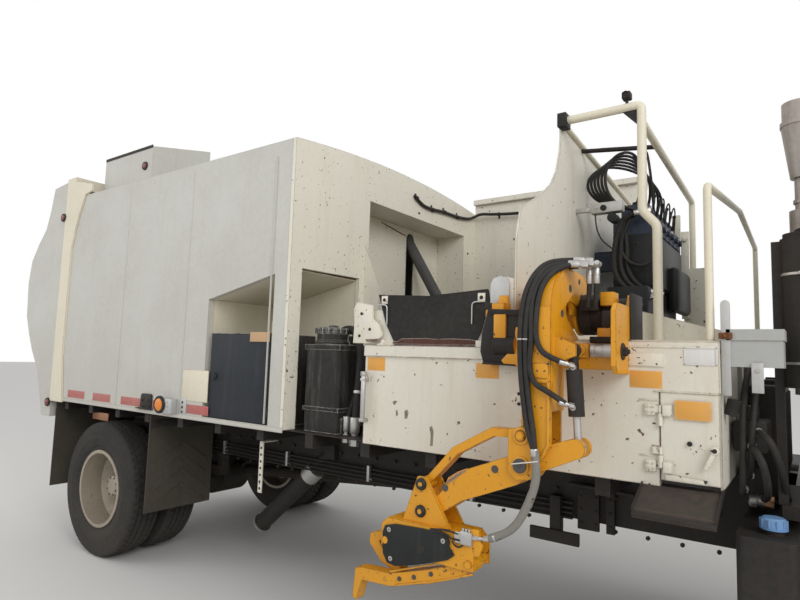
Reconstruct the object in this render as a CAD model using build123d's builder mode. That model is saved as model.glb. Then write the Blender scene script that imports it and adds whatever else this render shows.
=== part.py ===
import os
from math import cos, radians, sin

from build123d import *

# Side-loading garbage truck with a front cab-over cab, in millimetres.
# +X points forward, +Y to the left (street) side, +Z up; the floor is Z = 0.
# The origin is on the floor in the middle of the overall length and width.

os.makedirs("parts", exist_ok=True)

# Stations along the truck, from the rear axle forward
rear_axle_x = -2485.0
body_rear_overhang = 900.0
ring_depth = 165.0
body_length = 2975.0
neck_length = 615.0
hopper_length = 860.0
deck_length = 825.0
cab_gap = 505.0
cab_length = 1620.0
axle_setback = 370.0
bumper_overhang = 50.0

ring_rear_x = rear_axle_x - body_rear_overhang
ring_front_x = ring_rear_x + ring_depth
body_front_x = ring_rear_x + body_length
hopper_rear_x = body_front_x + neck_length
front_wall_x = hopper_rear_x + hopper_length
deck_front_x = front_wall_x + deck_length
cab_rear_x = deck_front_x + cab_gap
front_axle_x = cab_rear_x + axle_setback
cab_front_x = cab_rear_x + cab_length
bumper_front_x = cab_front_x + bumper_overhang

# Widths and heights
body_half = 1220.0
neck_wall_y = -500.0
frame_half = 430.0
frame_bottom = 780.0
frame_top = 1050.0
floor_z = 1170.0
post_foot = floor_z - 20.0
body_top = 2980.0
crown = 80.0
sill_z = 1690.0
far_wall_top = body_top + 100.0
far_wall_y = body_half - 100.0
wall = 6.0
side_wall = 40.0
seam = 0.3

# Wheels: 11R22.5 tyres on 22.5-inch rims
tyre_radius = 524.0
tyre_width = 270.0
rim_radius = 286.0
flange_radius = 298.0
tyre_inner_radius = 292.0
rim_width = 230.0
dual_gap = 50.0
wheel_outer_y = body_half + 5.0
front_track_y = body_half - 170.0

# Cab
cab_half = body_half - 40.0
cab_floor_z = 1060.0
cab_roof_z = 2850.0
cab_wall = 45.0
door_gap = 8.0
tilt_pivot = (cab_front_x - 80.0, cab_floor_z - 60.0)
tilt_lug_y = frame_half + 12.0

# Arm: the lift axis runs along X, the elbow axes along Y
lift_y = -body_half + 115.0
lift_z = 1844.0
hub_radius = 62.0
boom_x0 = front_wall_x + 160.0
boom_width = 118.0
boom_outer_y = -body_half - 265.0
boom_depth = 145.0
elbow_x = boom_x0 - 2.0
elbow_z = 1222.0
link_gap = 115.0
forearm_length = 530.0
forearm_slope = 28.8
cheek = 16.0
pin_radius = 20.0
running = 0.05
side_play = 1.0


def box_between(x0, x1, y0, y1, z0, z1, mode=Mode.ADD):
    """A block between two opposite corners, in the current part."""
    with BuildSketch(Plane.XY.offset(z0)) as base:
        with Locations(((x0 + x1) / 2, (y0 + y1) / 2)):
            Rectangle(x1 - x0, y1 - y0)
    extrude(base.sketch, amount=z1 - z0, mode=mode)


def plate_y(y, thickness, points, mode=Mode.ADD):
    """A plate with an (x, z) outline, from y towards +Y."""
    with BuildSketch(Plane.XZ.offset(-y)) as outline:
        with BuildLine():
            Polyline(*points, close=True)
        make_face()
    extrude(outline.sketch, amount=thickness, dir=(0, 1, 0), mode=mode)


def plate_x(x, thickness, points, mode=Mode.ADD):
    """A plate with a (y, z) outline, from x towards +X."""
    with BuildSketch(Plane.YZ.offset(x)) as outline:
        with BuildLine():
            Polyline(*points, close=True)
        make_face()
    extrude(outline.sketch, amount=thickness, dir=(1, 0, 0), mode=mode)


def plate_z(z, thickness, points, mode=Mode.ADD):
    """A plate with an (x, y) outline, from z upwards."""
    with BuildSketch(Plane.XY.offset(z)) as outline:
        with BuildLine():
            Polyline(*points, close=True)
        make_face()
    extrude(outline.sketch, amount=thickness, dir=(0, 0, 1), mode=mode)


def rod_y(x, z, radius, y0, y1, mode=Mode.ADD):
    """A round bar along Y."""
    with BuildSketch(Plane.XZ.offset(-y0)) as ring:
        with Locations((x, z)):
            Circle(radius)
    extrude(ring.sketch, amount=y1 - y0, dir=(0, 1, 0), mode=mode)


def rod_x(y, z, radius, x0, x1, mode=Mode.ADD):
    """A round bar along X."""
    with BuildSketch(Plane.YZ.offset(x0)) as ring:
        with Locations((y, z)):
            Circle(radius)
    extrude(ring.sketch, amount=x1 - x0, dir=(1, 0, 0), mode=mode)


def rod_z(x, y, radius, z0, z1, mode=Mode.ADD):
    """A round bar along Z."""
    with BuildSketch(Plane.XY.offset(z0)) as ring:
        with Locations((x, y)):
            Circle(radius)
    extrude(ring.sketch, amount=z1 - z0, dir=(0, 0, 1), mode=mode)


def bar(start, end, radius, mode=Mode.ADD):
    """A round bar between two points."""
    run = Vector(end) - Vector(start)
    with BuildSketch(Plane(origin=start, z_dir=run)) as section:
        Circle(radius)
    extrude(section.sketch, amount=run.length, mode=mode)


def square_path(points, width):
    """A square tube along straight runs with mitred corners."""
    with BuildLine() as path:
        Polyline(*points)
    with BuildSketch(Plane(origin=path.line @ 0, z_dir=path.line % 0)) as section:
        Rectangle(width, width)
    sweep(section.sketch, path=path.line, transition=Transition.RIGHT)


def save(part, name):
    part.label = name
    export_step(part, f"parts/{name}.step")


# Chassis frame: two channel rails with cross members
rail_rear_x = ring_rear_x + 20.0
rail_front_x = bumper_front_x - 160.0
rail_flange = 85.0
rail_web = 9.0
cross_members = [rail_rear_x, rear_axle_x - 420.0, rear_axle_x + 620.0, rear_axle_x + 1600.0,
                 rear_axle_x + 2400.0, rail_front_x - rail_web]

with BuildPart() as chassis_frame:
    for side in (-1, 1):
        y_web = side * frame_half
        y_in = side * (frame_half - rail_flange)
        plate_x(rail_rear_x, rail_front_x - rail_rear_x, [
            (y_web, frame_bottom), (y_in, frame_bottom), (y_in, frame_bottom + rail_web),
            (y_web - side * rail_web, frame_bottom + rail_web),
            (y_web - side * rail_web, frame_top - rail_web), (y_in, frame_top - rail_web),
            (y_in, frame_top), (y_web, frame_top)])
    for x in cross_members:
        box_between(x, x + rail_web, -frame_half + rail_web, frame_half - rail_web,
                    frame_bottom + rail_web, frame_top - rail_web)
save(chassis_frame.part, "chassis_frame")

# Body floor: deck plate on two long sills and cross bolsters
sill_height = floor_z - frame_top
sill_width = 90.0
bolster_count = 12
bolster_pitch = (deck_front_x - ring_front_x - 490.0) / (bolster_count - 1)
bolster_height = 80.0

with BuildPart() as body_floor:
    box_between(ring_front_x, deck_front_x, -body_half + side_wall, body_half - side_wall, floor_z, floor_z + wall)
    for side in (-1, 1):
        y0 = side * frame_half
        y1 = side * (frame_half - sill_width)
        box_between(ring_front_x, deck_front_x, min(y0, y1), max(y0, y1), frame_top, floor_z)
    for n in range(bolster_count):
        x = ring_front_x + 20.0 + n * bolster_pitch
        for side in (-1, 1):
            y0 = side * (frame_half - 1.0)
            y1 = side * (body_half - 40.0)
            box_between(x, x + 60.0, min(y0, y1), max(y0, y1), floor_z - bolster_height, floor_z)
save(body_floor.part, "body_floor")

# Rear axle: banjo housing, tubes and spring packs
axle_z = tyre_radius - 4.0
outer_tyre_y = wheel_outer_y - tyre_width / 2
inner_tyre_y = outer_tyre_y - tyre_width - dual_gap
dual_mid_y = (outer_tyre_y + inner_tyre_y) / 2
axle_tube_radius = 75.0
axle_tube_end = dual_mid_y - 180.0
stub_radius = 40.0
rear_spindle_end = dual_mid_y + 90.0
with BuildPart() as rear_axle:
    rod_y(rear_axle_x, axle_z, axle_tube_radius, -axle_tube_end, axle_tube_end)
    rod_y(rear_axle_x, axle_z, stub_radius, -rear_spindle_end, rear_spindle_end)
    with BuildSketch(Plane.XZ.offset(150.0)):
        with Locations((rear_axle_x, axle_z)):
            Circle(210.0)
    extrude(amount=-300.0)
    rod_x(0.0, axle_z + 30.0, 70.0, rear_axle_x, rear_axle_x + 330.0)
    for side in (-1, 1):
        y0 = side * frame_half - 45.0
        box_between(rear_axle_x - 560.0, rear_axle_x + 560.0, y0, y0 + 90.0, axle_z + 76.0, axle_z + 150.0)
        box_between(rear_axle_x - 60.0, rear_axle_x + 60.0, y0 - 5.0, y0 + 95.0, axle_z - 90.0, axle_z + 77.0)
        for end in (-1, 1):
            x0 = rear_axle_x + end * 540.0
            box_between(x0 - 30.0, x0 + 30.0, y0 + 10.0, y0 + 80.0, axle_z + 149.0, frame_bottom)
save(rear_axle.part, "rear_axle")

# Front axle: dropped I-beam with kingpin bosses and spring packs
kingpin_y = front_track_y - 180.0
kingpin_radius = 25.0
beam_drop = 70.0
with BuildPart() as front_axle:
    plate_x(front_axle_x - 45.0, 90.0, [
        (-kingpin_y, axle_z - 60.0), (-kingpin_y + 60.0, axle_z - 60.0),
        (-kingpin_y + 190.0, axle_z - 60.0 - beam_drop), (kingpin_y - 190.0, axle_z - 60.0 - beam_drop),
        (kingpin_y - 60.0, axle_z - 60.0), (kingpin_y, axle_z - 60.0),
        (kingpin_y, axle_z + 60.0), (kingpin_y - 150.0, axle_z + 60.0 - beam_drop),
        (-kingpin_y + 150.0, axle_z + 60.0 - beam_drop), (-kingpin_y, axle_z + 60.0)])
    for side in (-1, 1):
        rod_z(front_axle_x, side * kingpin_y, 50.0, axle_z - 75.0, axle_z + 75.0)
        rod_z(front_axle_x, side * kingpin_y, kingpin_radius, axle_z - 140.0, axle_z + 140.0)
        y0 = side * frame_half - 45.0
        box_between(front_axle_x - 620.0, front_axle_x + 560.0, y0, y0 + 90.0, axle_z + 50.0, axle_z + 110.0)
        box_between(front_axle_x - 60.0, front_axle_x + 60.0, y0 - 5.0, y0 + 95.0,
                    axle_z - 40.0, axle_z + 51.0)
        for end in (-1, 1):
            x0 = front_axle_x - 30.0 + end * 540.0
            box_between(x0 - 30.0, x0 + 30.0, y0 + 10.0, y0 + 80.0, axle_z + 109.0, frame_bottom)
save(front_axle.part, "front_axle")

# Knuckles: a C-shaped fork on the kingpin, with the stub that carries the wheel
front_spindle_end = front_track_y + 90.0
for side, name in ((-1, "knuckle_right"), (1, "knuckle_left")):
    with BuildPart() as knuckle:
        y_pin = side * kingpin_y
        y_face = side * (kingpin_y + 75.0)
        for z0, z1 in ((axle_z - 130.0, axle_z - 76.0), (axle_z + 76.0, axle_z + 130.0)):
            rod_z(front_axle_x, y_pin, 48.0, z0, z1)
            box_between(front_axle_x - 45.0, front_axle_x + 45.0, min(y_pin, y_face), max(y_pin, y_face), z0, z1)
        y1 = side * (kingpin_y + 60.0)
        y2 = side * (kingpin_y + 95.0)
        box_between(front_axle_x - 45.0, front_axle_x + 45.0, min(y1, y2), max(y1, y2),
                    axle_z - 130.0, axle_z + 130.0)
        y3 = side * front_spindle_end
        rod_y(front_axle_x, axle_z, stub_radius, min(y2, y3), max(y2, y3))
        rod_z(front_axle_x, y_pin, kingpin_radius + running, axle_z - 131.0, axle_z + 131.0, mode=Mode.SUBTRACT)
    save(knuckle.part, name)

# Wheels: tyres, rims and hubs, turned as profiles about the axle line
def turned(x, y, side, points):
    """Turn (radius, offset) pairs about the axle line; the offset grows towards the outside."""
    with BuildSketch(Plane(origin=(x, y, axle_z), z_dir=(0, 0, 1), x_dir=(1, 0, 0))) as outline:
        with BuildLine():
            Polyline(*[(r, side * offset) for r, offset in points], close=True)
        make_face()
    revolve(outline.sketch, axis=Axis((x, y, axle_z), (0, 1, 0)))


tread = tyre_radius - 4.0
half = tyre_width / 2
tyre_profile = [(tyre_inner_radius, -half * 0.72), (tyre_inner_radius + 60.0, -half * 0.93),
                (tyre_inner_radius + 120.0, -half), (tread - 45.0, -half * 0.93),
                (tread - 8.0, -half * 0.74), (tread, -half * 0.45), (tread, half * 0.45),
                (tread - 8.0, half * 0.74), (tread - 45.0, half * 0.93),
                (tyre_inner_radius + 120.0, half), (tyre_inner_radius + 60.0, half * 0.93),
                (tyre_inner_radius, half * 0.72)]
rim_half = rim_width / 2
seat_radius = tyre_inner_radius - 0.3
barrel_profile = [(rim_radius - 14.0, -rim_half), (flange_radius, -rim_half), (flange_radius, -rim_half + 10.0),
                  (seat_radius, -rim_half + 12.0), (seat_radius, rim_half - 12.0),
                  (flange_radius, rim_half - 10.0), (flange_radius, rim_half), (rim_radius - 14.0, rim_half)]
disc = 14.0
hub_bore = stub_radius + running
barrel_bore = rim_radius - 14.0
dish = outer_tyre_y - dual_mid_y

for side, end in ((-1, "right"), (1, "left")):
    with BuildPart() as rear_tyres:
        for y in (outer_tyre_y, inner_tyre_y):
            turned(rear_axle_x, side * y, side, tyre_profile)
    save(rear_tyres.part, f"rear_tyres_{end}")
    with BuildPart() as rear_rims:
        for y, facing in ((outer_tyre_y, 1), (inner_tyre_y, -1)):
            turned(rear_axle_x, side * y, side, barrel_profile)
            turned(rear_axle_x, side * dual_mid_y, side * facing, [
                (hub_bore, 0.0), (200.0, 0.0), (barrel_bore + 1.0, dish - 70.0), (barrel_bore + 1.0, dish - 50.0),
                (195.0, disc), (hub_bore, disc)])
        turned(rear_axle_x, side * dual_mid_y, side, [
            (hub_bore, 0.0), (115.0, 0.0), (110.0, 90.0), (85.0, 100.0), (80.0, 160.0), (60.0, 168.0),
            (0.0, 168.0), (0.0, 91.0), (hub_bore, 91.0)])
        turned(rear_axle_x, side * dual_mid_y, -side, [
            (hub_bore, 0.0), (205.0, 0.0), (205.0, 190.0), (185.0, 190.0), (185.0, 30.0), (hub_bore, 30.0)])
    save(rear_rims.part, f"rear_rims_{end}")
    with BuildPart() as front_tyre:
        turned(front_axle_x, side * front_track_y, side, tyre_profile)
    save(front_tyre.part, f"front_tyre_{end}")
    with BuildPart() as front_rim:
        turned(front_axle_x, side * front_track_y, side, barrel_profile)
        turned(front_axle_x, side * front_track_y, side, [
            (hub_bore, 66.0), (hub_bore, 80.0), (175.0, 80.0), (barrel_bore + 1.0, 40.0),
            (barrel_bore + 1.0, 20.0), (180.0, 66.0)])
        turned(front_axle_x, side * front_track_y, side, [
            (hub_bore, -40.0), (hub_bore, 92.0), (0.0, 92.0), (0.0, 140.0), (70.0, 140.0), (80.0, 130.0),
            (85.0, 79.0), (120.0, 67.0), (120.0, -40.0)])
    save(front_rim.part, f"front_rim_{end}")

# Engine and gearbox as one plain block under the cab
with BuildPart() as engine:
    box_between(cab_rear_x - 150.0, front_axle_x + 760.0, -330.0, 330.0, frame_bottom - 30.0, cab_floor_z - 60.0)
    box_between(cab_rear_x - 850.0, cab_rear_x - 149.0, -190.0, 190.0, frame_bottom - 40.0, frame_top - 60.0)
    for x in (cab_rear_x - 100.0, front_axle_x + 600.0):
        box_between(x, x + 80.0, -frame_half + rail_web, frame_half - rail_web, 860.0, 920.0)
    bar((rear_axle_x + 335.0, 0.0, axle_z + 30.0), (cab_rear_x - 849.0, 0.0, axle_z + 330.0), 45.0)
save(engine.part, "engine")

# Tanks on brackets outside the rails: fuel on the left, the fluid tank with its cap on the right
tank_bottom = 560.0
fuel_x = (deck_front_x - 900.0, deck_front_x + 200.0)
fluid_x = (deck_front_x + 30.0, deck_front_x + 225.0)
bracket_reach = 61.0
with BuildPart() as side_tanks:
    box_between(fuel_x[0], fuel_x[1], frame_half + 60.0, body_half - 70.0, tank_bottom, floor_z - 100.0)
    fillet(side_tanks.edges().filter_by(Axis.X), radius=90.0)
    for x in (fuel_x[0] + 100.0, fuel_x[1] - 160.0):
        box_between(x, x + 60.0, frame_half, frame_half + bracket_reach, 800.0, 1000.0)
    box_between(fluid_x[0], fluid_x[1], -body_half + 70.0, -frame_half - 60.0, tank_bottom + 20.0, floor_z - 150.0)
    fillet(side_tanks.edges().filter_by(Axis.Z).group_by(Axis.Y)[0], radius=30.0)
    box_between(fluid_x[0] + 70.0, fluid_x[0] + 130.0, -frame_half - bracket_reach, -frame_half, 800.0, 1000.0)
    rod_z(deck_front_x + 145.0, -body_half + 190.0, 38.0, floor_z - 151.0, floor_z - 118.0)
save(side_tanks.part, "side_tanks")

# Exhaust stack behind the cab: muffler, thin pipe, tapered shield, clamp ring and outlet
stack_x = deck_front_x + 260.0
stack_y = 60.0
stack_foot_top = frame_top + 60.0
muffler = (62.0, 1500.0, 2480.0)
stack_pipe = 34.0
shield = (52.0, 2660.0, 88.0, 2950.0)
outlet = 82.0
with BuildPart() as exhaust_stack:
    rod_z(stack_x, stack_y, muffler[0], muffler[1], muffler[2])
    rod_z(stack_x, stack_y, stack_pipe, muffler[2] - 1.0, shield[1] + 1.0)
    rod_z(stack_x, stack_y, stack_pipe + 8.0, 2520.0, 2540.0)
    with Locations((stack_x, stack_y, (shield[1] + shield[3]) / 2)):
        Cone(shield[0], shield[2], shield[3] - shield[1])
    rod_z(stack_x, stack_y, shield[2] + 4.0, shield[3] - 1.0, shield[3] + 24.0)
    rod_z(stack_x, stack_y, outlet, shield[3] + 23.0, far_wall_top)
    rod_z(stack_x, stack_y, outlet - 6.0, far_wall_top - 90.0, far_wall_top + 1.0, mode=Mode.SUBTRACT)
    box_between(stack_x - 30.0, stack_x + 30.0, stack_y - 30.0, stack_y + 30.0, stack_foot_top - 1.0, muffler[1] + 1.0)
    box_between(stack_x - 60.0, stack_x + 60.0, -frame_half, frame_half, frame_top, stack_foot_top)
save(exhaust_stack.part, "exhaust_stack")

# Black canister on a channel post that stands on an arm from the frame
canister_y = -body_half + 320.0
canister_radius = 72.0
channel = (deck_front_x + 158.0, deck_front_x + 191.0)
arm_x = (channel[0] + 12.0, channel[1] + 40.0)
with BuildPart() as air_canister:
    rod_z(channel[1] + canister_radius - 4.0, canister_y, canister_radius, 1560.0, 2150.0)
    rod_z(channel[1] + canister_radius - 4.0, canister_y, canister_radius - 10.0, 2149.0, 2170.0)
    box_between(channel[0], channel[1], canister_y - 18.0, canister_y + 18.0, stack_foot_top - 1.0, 2143.0)
    box_between(arm_x[0], arm_x[1], canister_y - 30.0, -frame_half, frame_top + 8.0, stack_foot_top)
    box_between(arm_x[0], arm_x[1], -frame_half - 12.0, -frame_half, frame_top - 120.0, frame_top + 10.0)
save(air_canister.part, "air_canister")

# Mudflaps: two wide sheets hung from the floor behind and ahead of each rear wheel
flap_thickness = 9.0
flap_width = 560.0
rear_flap_x = ring_front_x - 79.0
front_flap_x = rear_axle_x + tyre_radius + 130.0
with BuildPart() as mudflaps:
    for side in (-1, 1):
        y0 = side * (body_half - 15.0)
        y1 = side * (body_half - 15.0 - flap_width)
        box_between(rear_flap_x - flap_thickness, rear_flap_x, min(y0, y1), max(y0, y1), 420.0, post_foot)
        box_between(front_flap_x, front_flap_x + flap_thickness, min(y0, y1), max(y0, y1), 440.0, floor_z)
save(mudflaps.part, "mudflaps")

# Rear guard: lamp panel and under-run bar on two arms
with BuildPart() as rear_guard:
    box_between(rail_rear_x - 180.0, rail_rear_x - 120.0, -body_half + 170.0, body_half - 170.0, 520.0, 620.0)
    for side in (-1, 1):
        y0 = side * 330.0 - 40.0
        box_between(rail_rear_x - 175.0, rail_rear_x + 60.0, y0, y0 + 80.0, 619.0, frame_bottom)
    box_between(rail_rear_x - 70.0, rail_rear_x, -body_half + 170.0, body_half - 170.0, 800.0, 960.0)
save(rear_guard.part, "rear_guard")

# Front bumper: an open-backed shell on two mounts that also carry the cab's tilt pins
bumper_bottom = 480.0
bumper_height = 480.0
mount_depth = 85.0
with BuildPart() as front_bumper:
    plate_z(bumper_bottom, bumper_height, [
        (bumper_front_x - 160.0, -cab_half), (bumper_front_x - 70.0, -cab_half),
        (bumper_front_x, -cab_half + 260.0), (bumper_front_x, cab_half - 260.0),
        (bumper_front_x - 70.0, cab_half), (bumper_front_x - 160.0, cab_half)])
    box_between(bumper_front_x - 161.0, bumper_front_x - 40.0, -cab_half + 330.0, cab_half - 330.0,
                bumper_bottom + 40.0, bumper_bottom + bumper_height + 1.0, mode=Mode.SUBTRACT)
    for side in (-1, 1):
        y0 = side * frame_half
        y1 = side * (frame_half - mount_depth)
        box_between(rail_front_x, bumper_front_x - 39.0, min(y0, y1), max(y0, y1), 700.0, frame_top - 100.0)
        box_between(tilt_pivot[0] - 30.0, tilt_pivot[0] + 30.0, min(y0, y1), max(y0, y1),
                    frame_top - 101.0, tilt_pivot[1] + 30.0)
        y1 = side * (tilt_lug_y + 45.0)
        y0 = side * (frame_half - 10.0)
        rod_y(tilt_pivot[0], tilt_pivot[1], pin_radius, min(y0, y1), max(y0, y1))
save(front_bumper.part, "front_bumper")

# Cab shell: a hollow box with raked windscreen, cut for windscreen, doors and rear windows
screen_bottom = 1750.0
screen_top = 2680.0
screen_rake = 130.0
door_x0 = cab_rear_x + 330.0
door_x1 = cab_front_x - 190.0
door_z0 = cab_floor_z + 100.0
door_z1 = 2660.0
door_hinge_x = door_x1 - 30.0
door_hinge_y = cab_half + 12.0
door_hinges = (1300.0, 2100.0)
knuckle_length = 120.0
hinge_pin = 6.0
cab_outline = [(cab_rear_x, cab_floor_z), (cab_front_x, cab_floor_z), (cab_front_x, screen_bottom),
               (cab_front_x - screen_rake, screen_top), (cab_front_x - screen_rake - 80.0, cab_roof_z),
               (cab_rear_x, cab_roof_z)]
inner_outline = [(cab_rear_x + cab_wall, cab_floor_z + cab_wall), (cab_front_x - cab_wall, cab_floor_z + cab_wall),
                 (cab_front_x - cab_wall, screen_bottom), (cab_front_x - screen_rake - cab_wall, screen_top),
                 (cab_front_x - screen_rake - 80.0 - cab_wall, cab_roof_z - cab_wall),
                 (cab_rear_x + cab_wall, cab_roof_z - cab_wall)]
tunnel_half = 470.0
arch_radius = tyre_radius + 90.0
with BuildPart() as cab_shell:
    plate_y(-cab_half, 2 * cab_half, cab_outline)
    fillet(cab_shell.edges().filter_by(Axis.Y).sort_by(Axis.Z)[-2:], radius=70.0)
    plate_y(-cab_half + cab_wall, 2 * (cab_half - cab_wall), inner_outline, mode=Mode.SUBTRACT)
    box_between(cab_rear_x + cab_wall - 1.0, front_axle_x + 800.0, -tunnel_half - cab_wall, tunnel_half + cab_wall,
                cab_floor_z, cab_floor_z + 420.0)
    box_between(cab_rear_x - 1.0, front_axle_x + 800.0 - cab_wall, -tunnel_half, tunnel_half,
                cab_floor_z - 1.0, cab_floor_z + 420.0 - cab_wall, mode=Mode.SUBTRACT)
    for side in (-1, 1):
        y0 = side * (cab_half + 1.0)
        y1 = side * (cab_half - cab_wall - 1.0)
        box_between(door_x0, door_x1, min(y0, y1), max(y0, y1), door_z0, door_z1, mode=Mode.SUBTRACT)
        rod_y(front_axle_x, axle_z, arch_radius, side * 880.0 - 320.0, side * 880.0 + 320.0, mode=Mode.SUBTRACT)
    box_between(cab_front_x - 400.0, cab_front_x + 1.0, -cab_half + 110.0, cab_half - 110.0,
                screen_bottom + 20.0, screen_top - 30.0, mode=Mode.SUBTRACT)
    box_between(cab_rear_x - 1.0, cab_rear_x + cab_wall + 1.0, -700.0, 700.0, 1900.0, 2450.0, mode=Mode.SUBTRACT)
    for side in (-1, 1):
        y0 = side * tilt_lug_y
        y1 = side * (tilt_lug_y + 30.0)
        box_between(tilt_pivot[0] - 40.0, tilt_pivot[0] + 40.0, min(y0, y1), max(y0, y1),
                    tilt_pivot[1] - 40.0, cab_floor_z + 1.0)
        rod_y(tilt_pivot[0], tilt_pivot[1], pin_radius + running, min(y0, y1) - 1.0, max(y0, y1) + 1.0,
              mode=Mode.SUBTRACT)
    for side in (-1, 1):
        y0 = side * (cab_half + 1.0)
        y1 = side * (cab_half - cab_wall - 1.0)
        box_between(cab_rear_x + 90.0, door_x0 - 80.0, min(y0, y1), max(y0, y1), 1900.0, 2500.0, mode=Mode.SUBTRACT)
    for side in (-1, 1):
        y0 = side * (cab_half - 1.0)
        y1 = side * door_hinge_y
        y2 = side * (cab_half + 3.0)
        for z in door_hinges:
            z0 = z + knuckle_length + 0.5
            box_between(door_x1 + 1.0, door_x1 + 40.0, min(y0, y1), max(y0, y1), z0, z0 + 60.0)
            box_between(door_hinge_x, door_x1 + 2.0, min(y1, y2), max(y1, y2), z0, z0 + 60.0)
            rod_z(door_hinge_x, y1, 9.0, z0, z0 + 60.0)
            rod_z(door_hinge_x, y1, hinge_pin, z, z0 + 60.0)
save(cab_shell.part, "cab_shell")

# Cab doors: each a framed panel with its window cut out
for side, name in ((-1, "cab_door_right"), (1, "cab_door_left")):
    with BuildPart() as cab_door:
        y0 = side * cab_half
        y1 = side * (cab_half - cab_wall)
        box_between(door_x0 + door_gap, door_x1 - door_gap, min(y0, y1), max(y0, y1),
                    door_z0 + door_gap, door_z1 - door_gap)
        y0 = side * (cab_half + 1.0)
        y1 = side * (cab_half - cab_wall - 1.0)
        box_between(door_x0 + 80.0, door_x1 - 80.0, min(y0, y1), max(y0, y1), 1820.0, door_z1 - 80.0,
                    mode=Mode.SUBTRACT)
        for z in door_hinges:
            rod_z(door_hinge_x, side * door_hinge_y, 14.0, z, z + knuckle_length)
            rod_z(door_hinge_x, side * door_hinge_y, hinge_pin + running, z - 1.0, z + knuckle_length + 1.0,
                  mode=Mode.SUBTRACT)
    save(cab_door.part, name)

# Cab interior: dashboard, two seats and the steering wheel
with BuildPart() as cab_interior:
    plate_y(-cab_half + cab_wall + 20.0, 2 * (cab_half - cab_wall - 20.0), [
        (cab_front_x - cab_wall, 1500.0), (cab_front_x - cab_wall, 1740.0), (cab_front_x - 200.0, 1760.0),
        (cab_front_x - 330.0, 1640.0), (cab_front_x - 330.0, 1500.0)])
    for side in (-1, 1):
        y0 = side * 760.0 - 230.0
        plate_y(y0, 460.0, [(cab_rear_x + 160.0, 1400.0), (cab_rear_x + 640.0, 1440.0),
                            (cab_rear_x + 640.0, 1540.0), (cab_rear_x + 290.0, 1510.0),
                            (cab_rear_x + 200.0, 2180.0), (cab_rear_x + 80.0, 2180.0)])
        box_between(cab_rear_x + 200.0, cab_rear_x + 560.0, y0 + 60.0, y0 + 400.0,
                    cab_floor_z + cab_wall, 1415.0)
save(cab_interior.part, "cab_interior")

with BuildPart() as mirrors:
    for side in (-1, 1):
        y0 = side * (cab_half + 250.0)
        box_between(cab_front_x - 190.0, cab_front_x - 150.0, y0 - 90.0, y0 + 90.0, 1820.0, 2330.0)
        box_between(cab_front_x - 185.0, cab_front_x - 155.0, min(side * cab_half, y0), max(side * cab_half, y0),
                    2310.0, 2340.0)
        box_between(cab_front_x - 185.0, cab_front_x - 155.0, min(side * cab_half, y0), max(side * cab_half, y0),
                    1800.0, 1830.0)
save(mirrors.part, "mirrors")

# Load body: flat sides, crowned roof and the open front face
face_wall = 30.0
roof_wall = 25.0
bay_rear_x = rear_axle_x + 1290.0
bay_ceiling_rear = 1985.0
bay_ceiling_front = 2125.0
bay_inner_y = -567.0
post_width = 135.0
post_depth = 100.0
post_rear_x = body_front_x - post_width
crown_radius = (body_half ** 2 + crown ** 2) / (2 * crown)

with BuildPart() as body_side_right:
    plate_y(-body_half, side_wall, [
        (ring_front_x, floor_z), (bay_rear_x, floor_z), (bay_rear_x, bay_ceiling_rear),
        (post_rear_x, bay_ceiling_front), (post_rear_x, floor_z), (body_front_x - face_wall, floor_z),
        (body_front_x - face_wall, body_top), (ring_front_x, body_top)])
save(body_side_right.part, "body_side_right")

with BuildPart() as body_side_left:
    plate_y(body_half - side_wall, side_wall, [
        (ring_front_x, floor_z), (body_front_x - face_wall, floor_z),
        (body_front_x - face_wall, body_top), (ring_front_x, body_top)])
save(body_side_left.part, "body_side_left")

with BuildPart() as body_roof:
    with BuildSketch(Plane.YZ.offset(ring_front_x)) as roof_section:
        with BuildLine():
            ThreePointArc((-body_half, body_top), (0.0, body_top + crown), (body_half, body_top))
            Line((body_half, body_top), (body_half - side_wall, body_top))
            ThreePointArc((body_half - side_wall, body_top), (0.0, body_top + crown - roof_wall),
                          (-body_half + side_wall, body_top))
            Line((-body_half + side_wall, body_top), (-body_half, body_top))
        make_face()
    extrude(roof_section.sketch, amount=body_front_x - face_wall - ring_front_x, dir=(1, 0, 0))
save(body_roof.part, "body_roof")

# Bay liner: the slanted ceiling, back and rear walls of the equipment recess
with BuildPart() as bay_liner:
    bay_top = [(bay_rear_x, bay_ceiling_rear), (body_front_x - face_wall, bay_ceiling_front + 28.0),
               (body_front_x - face_wall, bay_ceiling_front + 36.0), (bay_rear_x, bay_ceiling_rear + 8.0)]
    plate_y(-body_half + side_wall, body_half - side_wall + bay_inner_y, bay_top)
    plate_y(bay_inner_y, 8.0, [
        (bay_rear_x, floor_z + wall), (body_front_x - face_wall, floor_z + wall),
        (body_front_x - face_wall, bay_ceiling_front + 36.0), (bay_rear_x, bay_ceiling_rear + 8.0)])
    box_between(bay_rear_x, bay_rear_x + 8.0, -body_half + side_wall, bay_inner_y,
                floor_z + wall, bay_ceiling_rear + 1.0)
save(bay_liner.part, "bay_liner")

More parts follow.
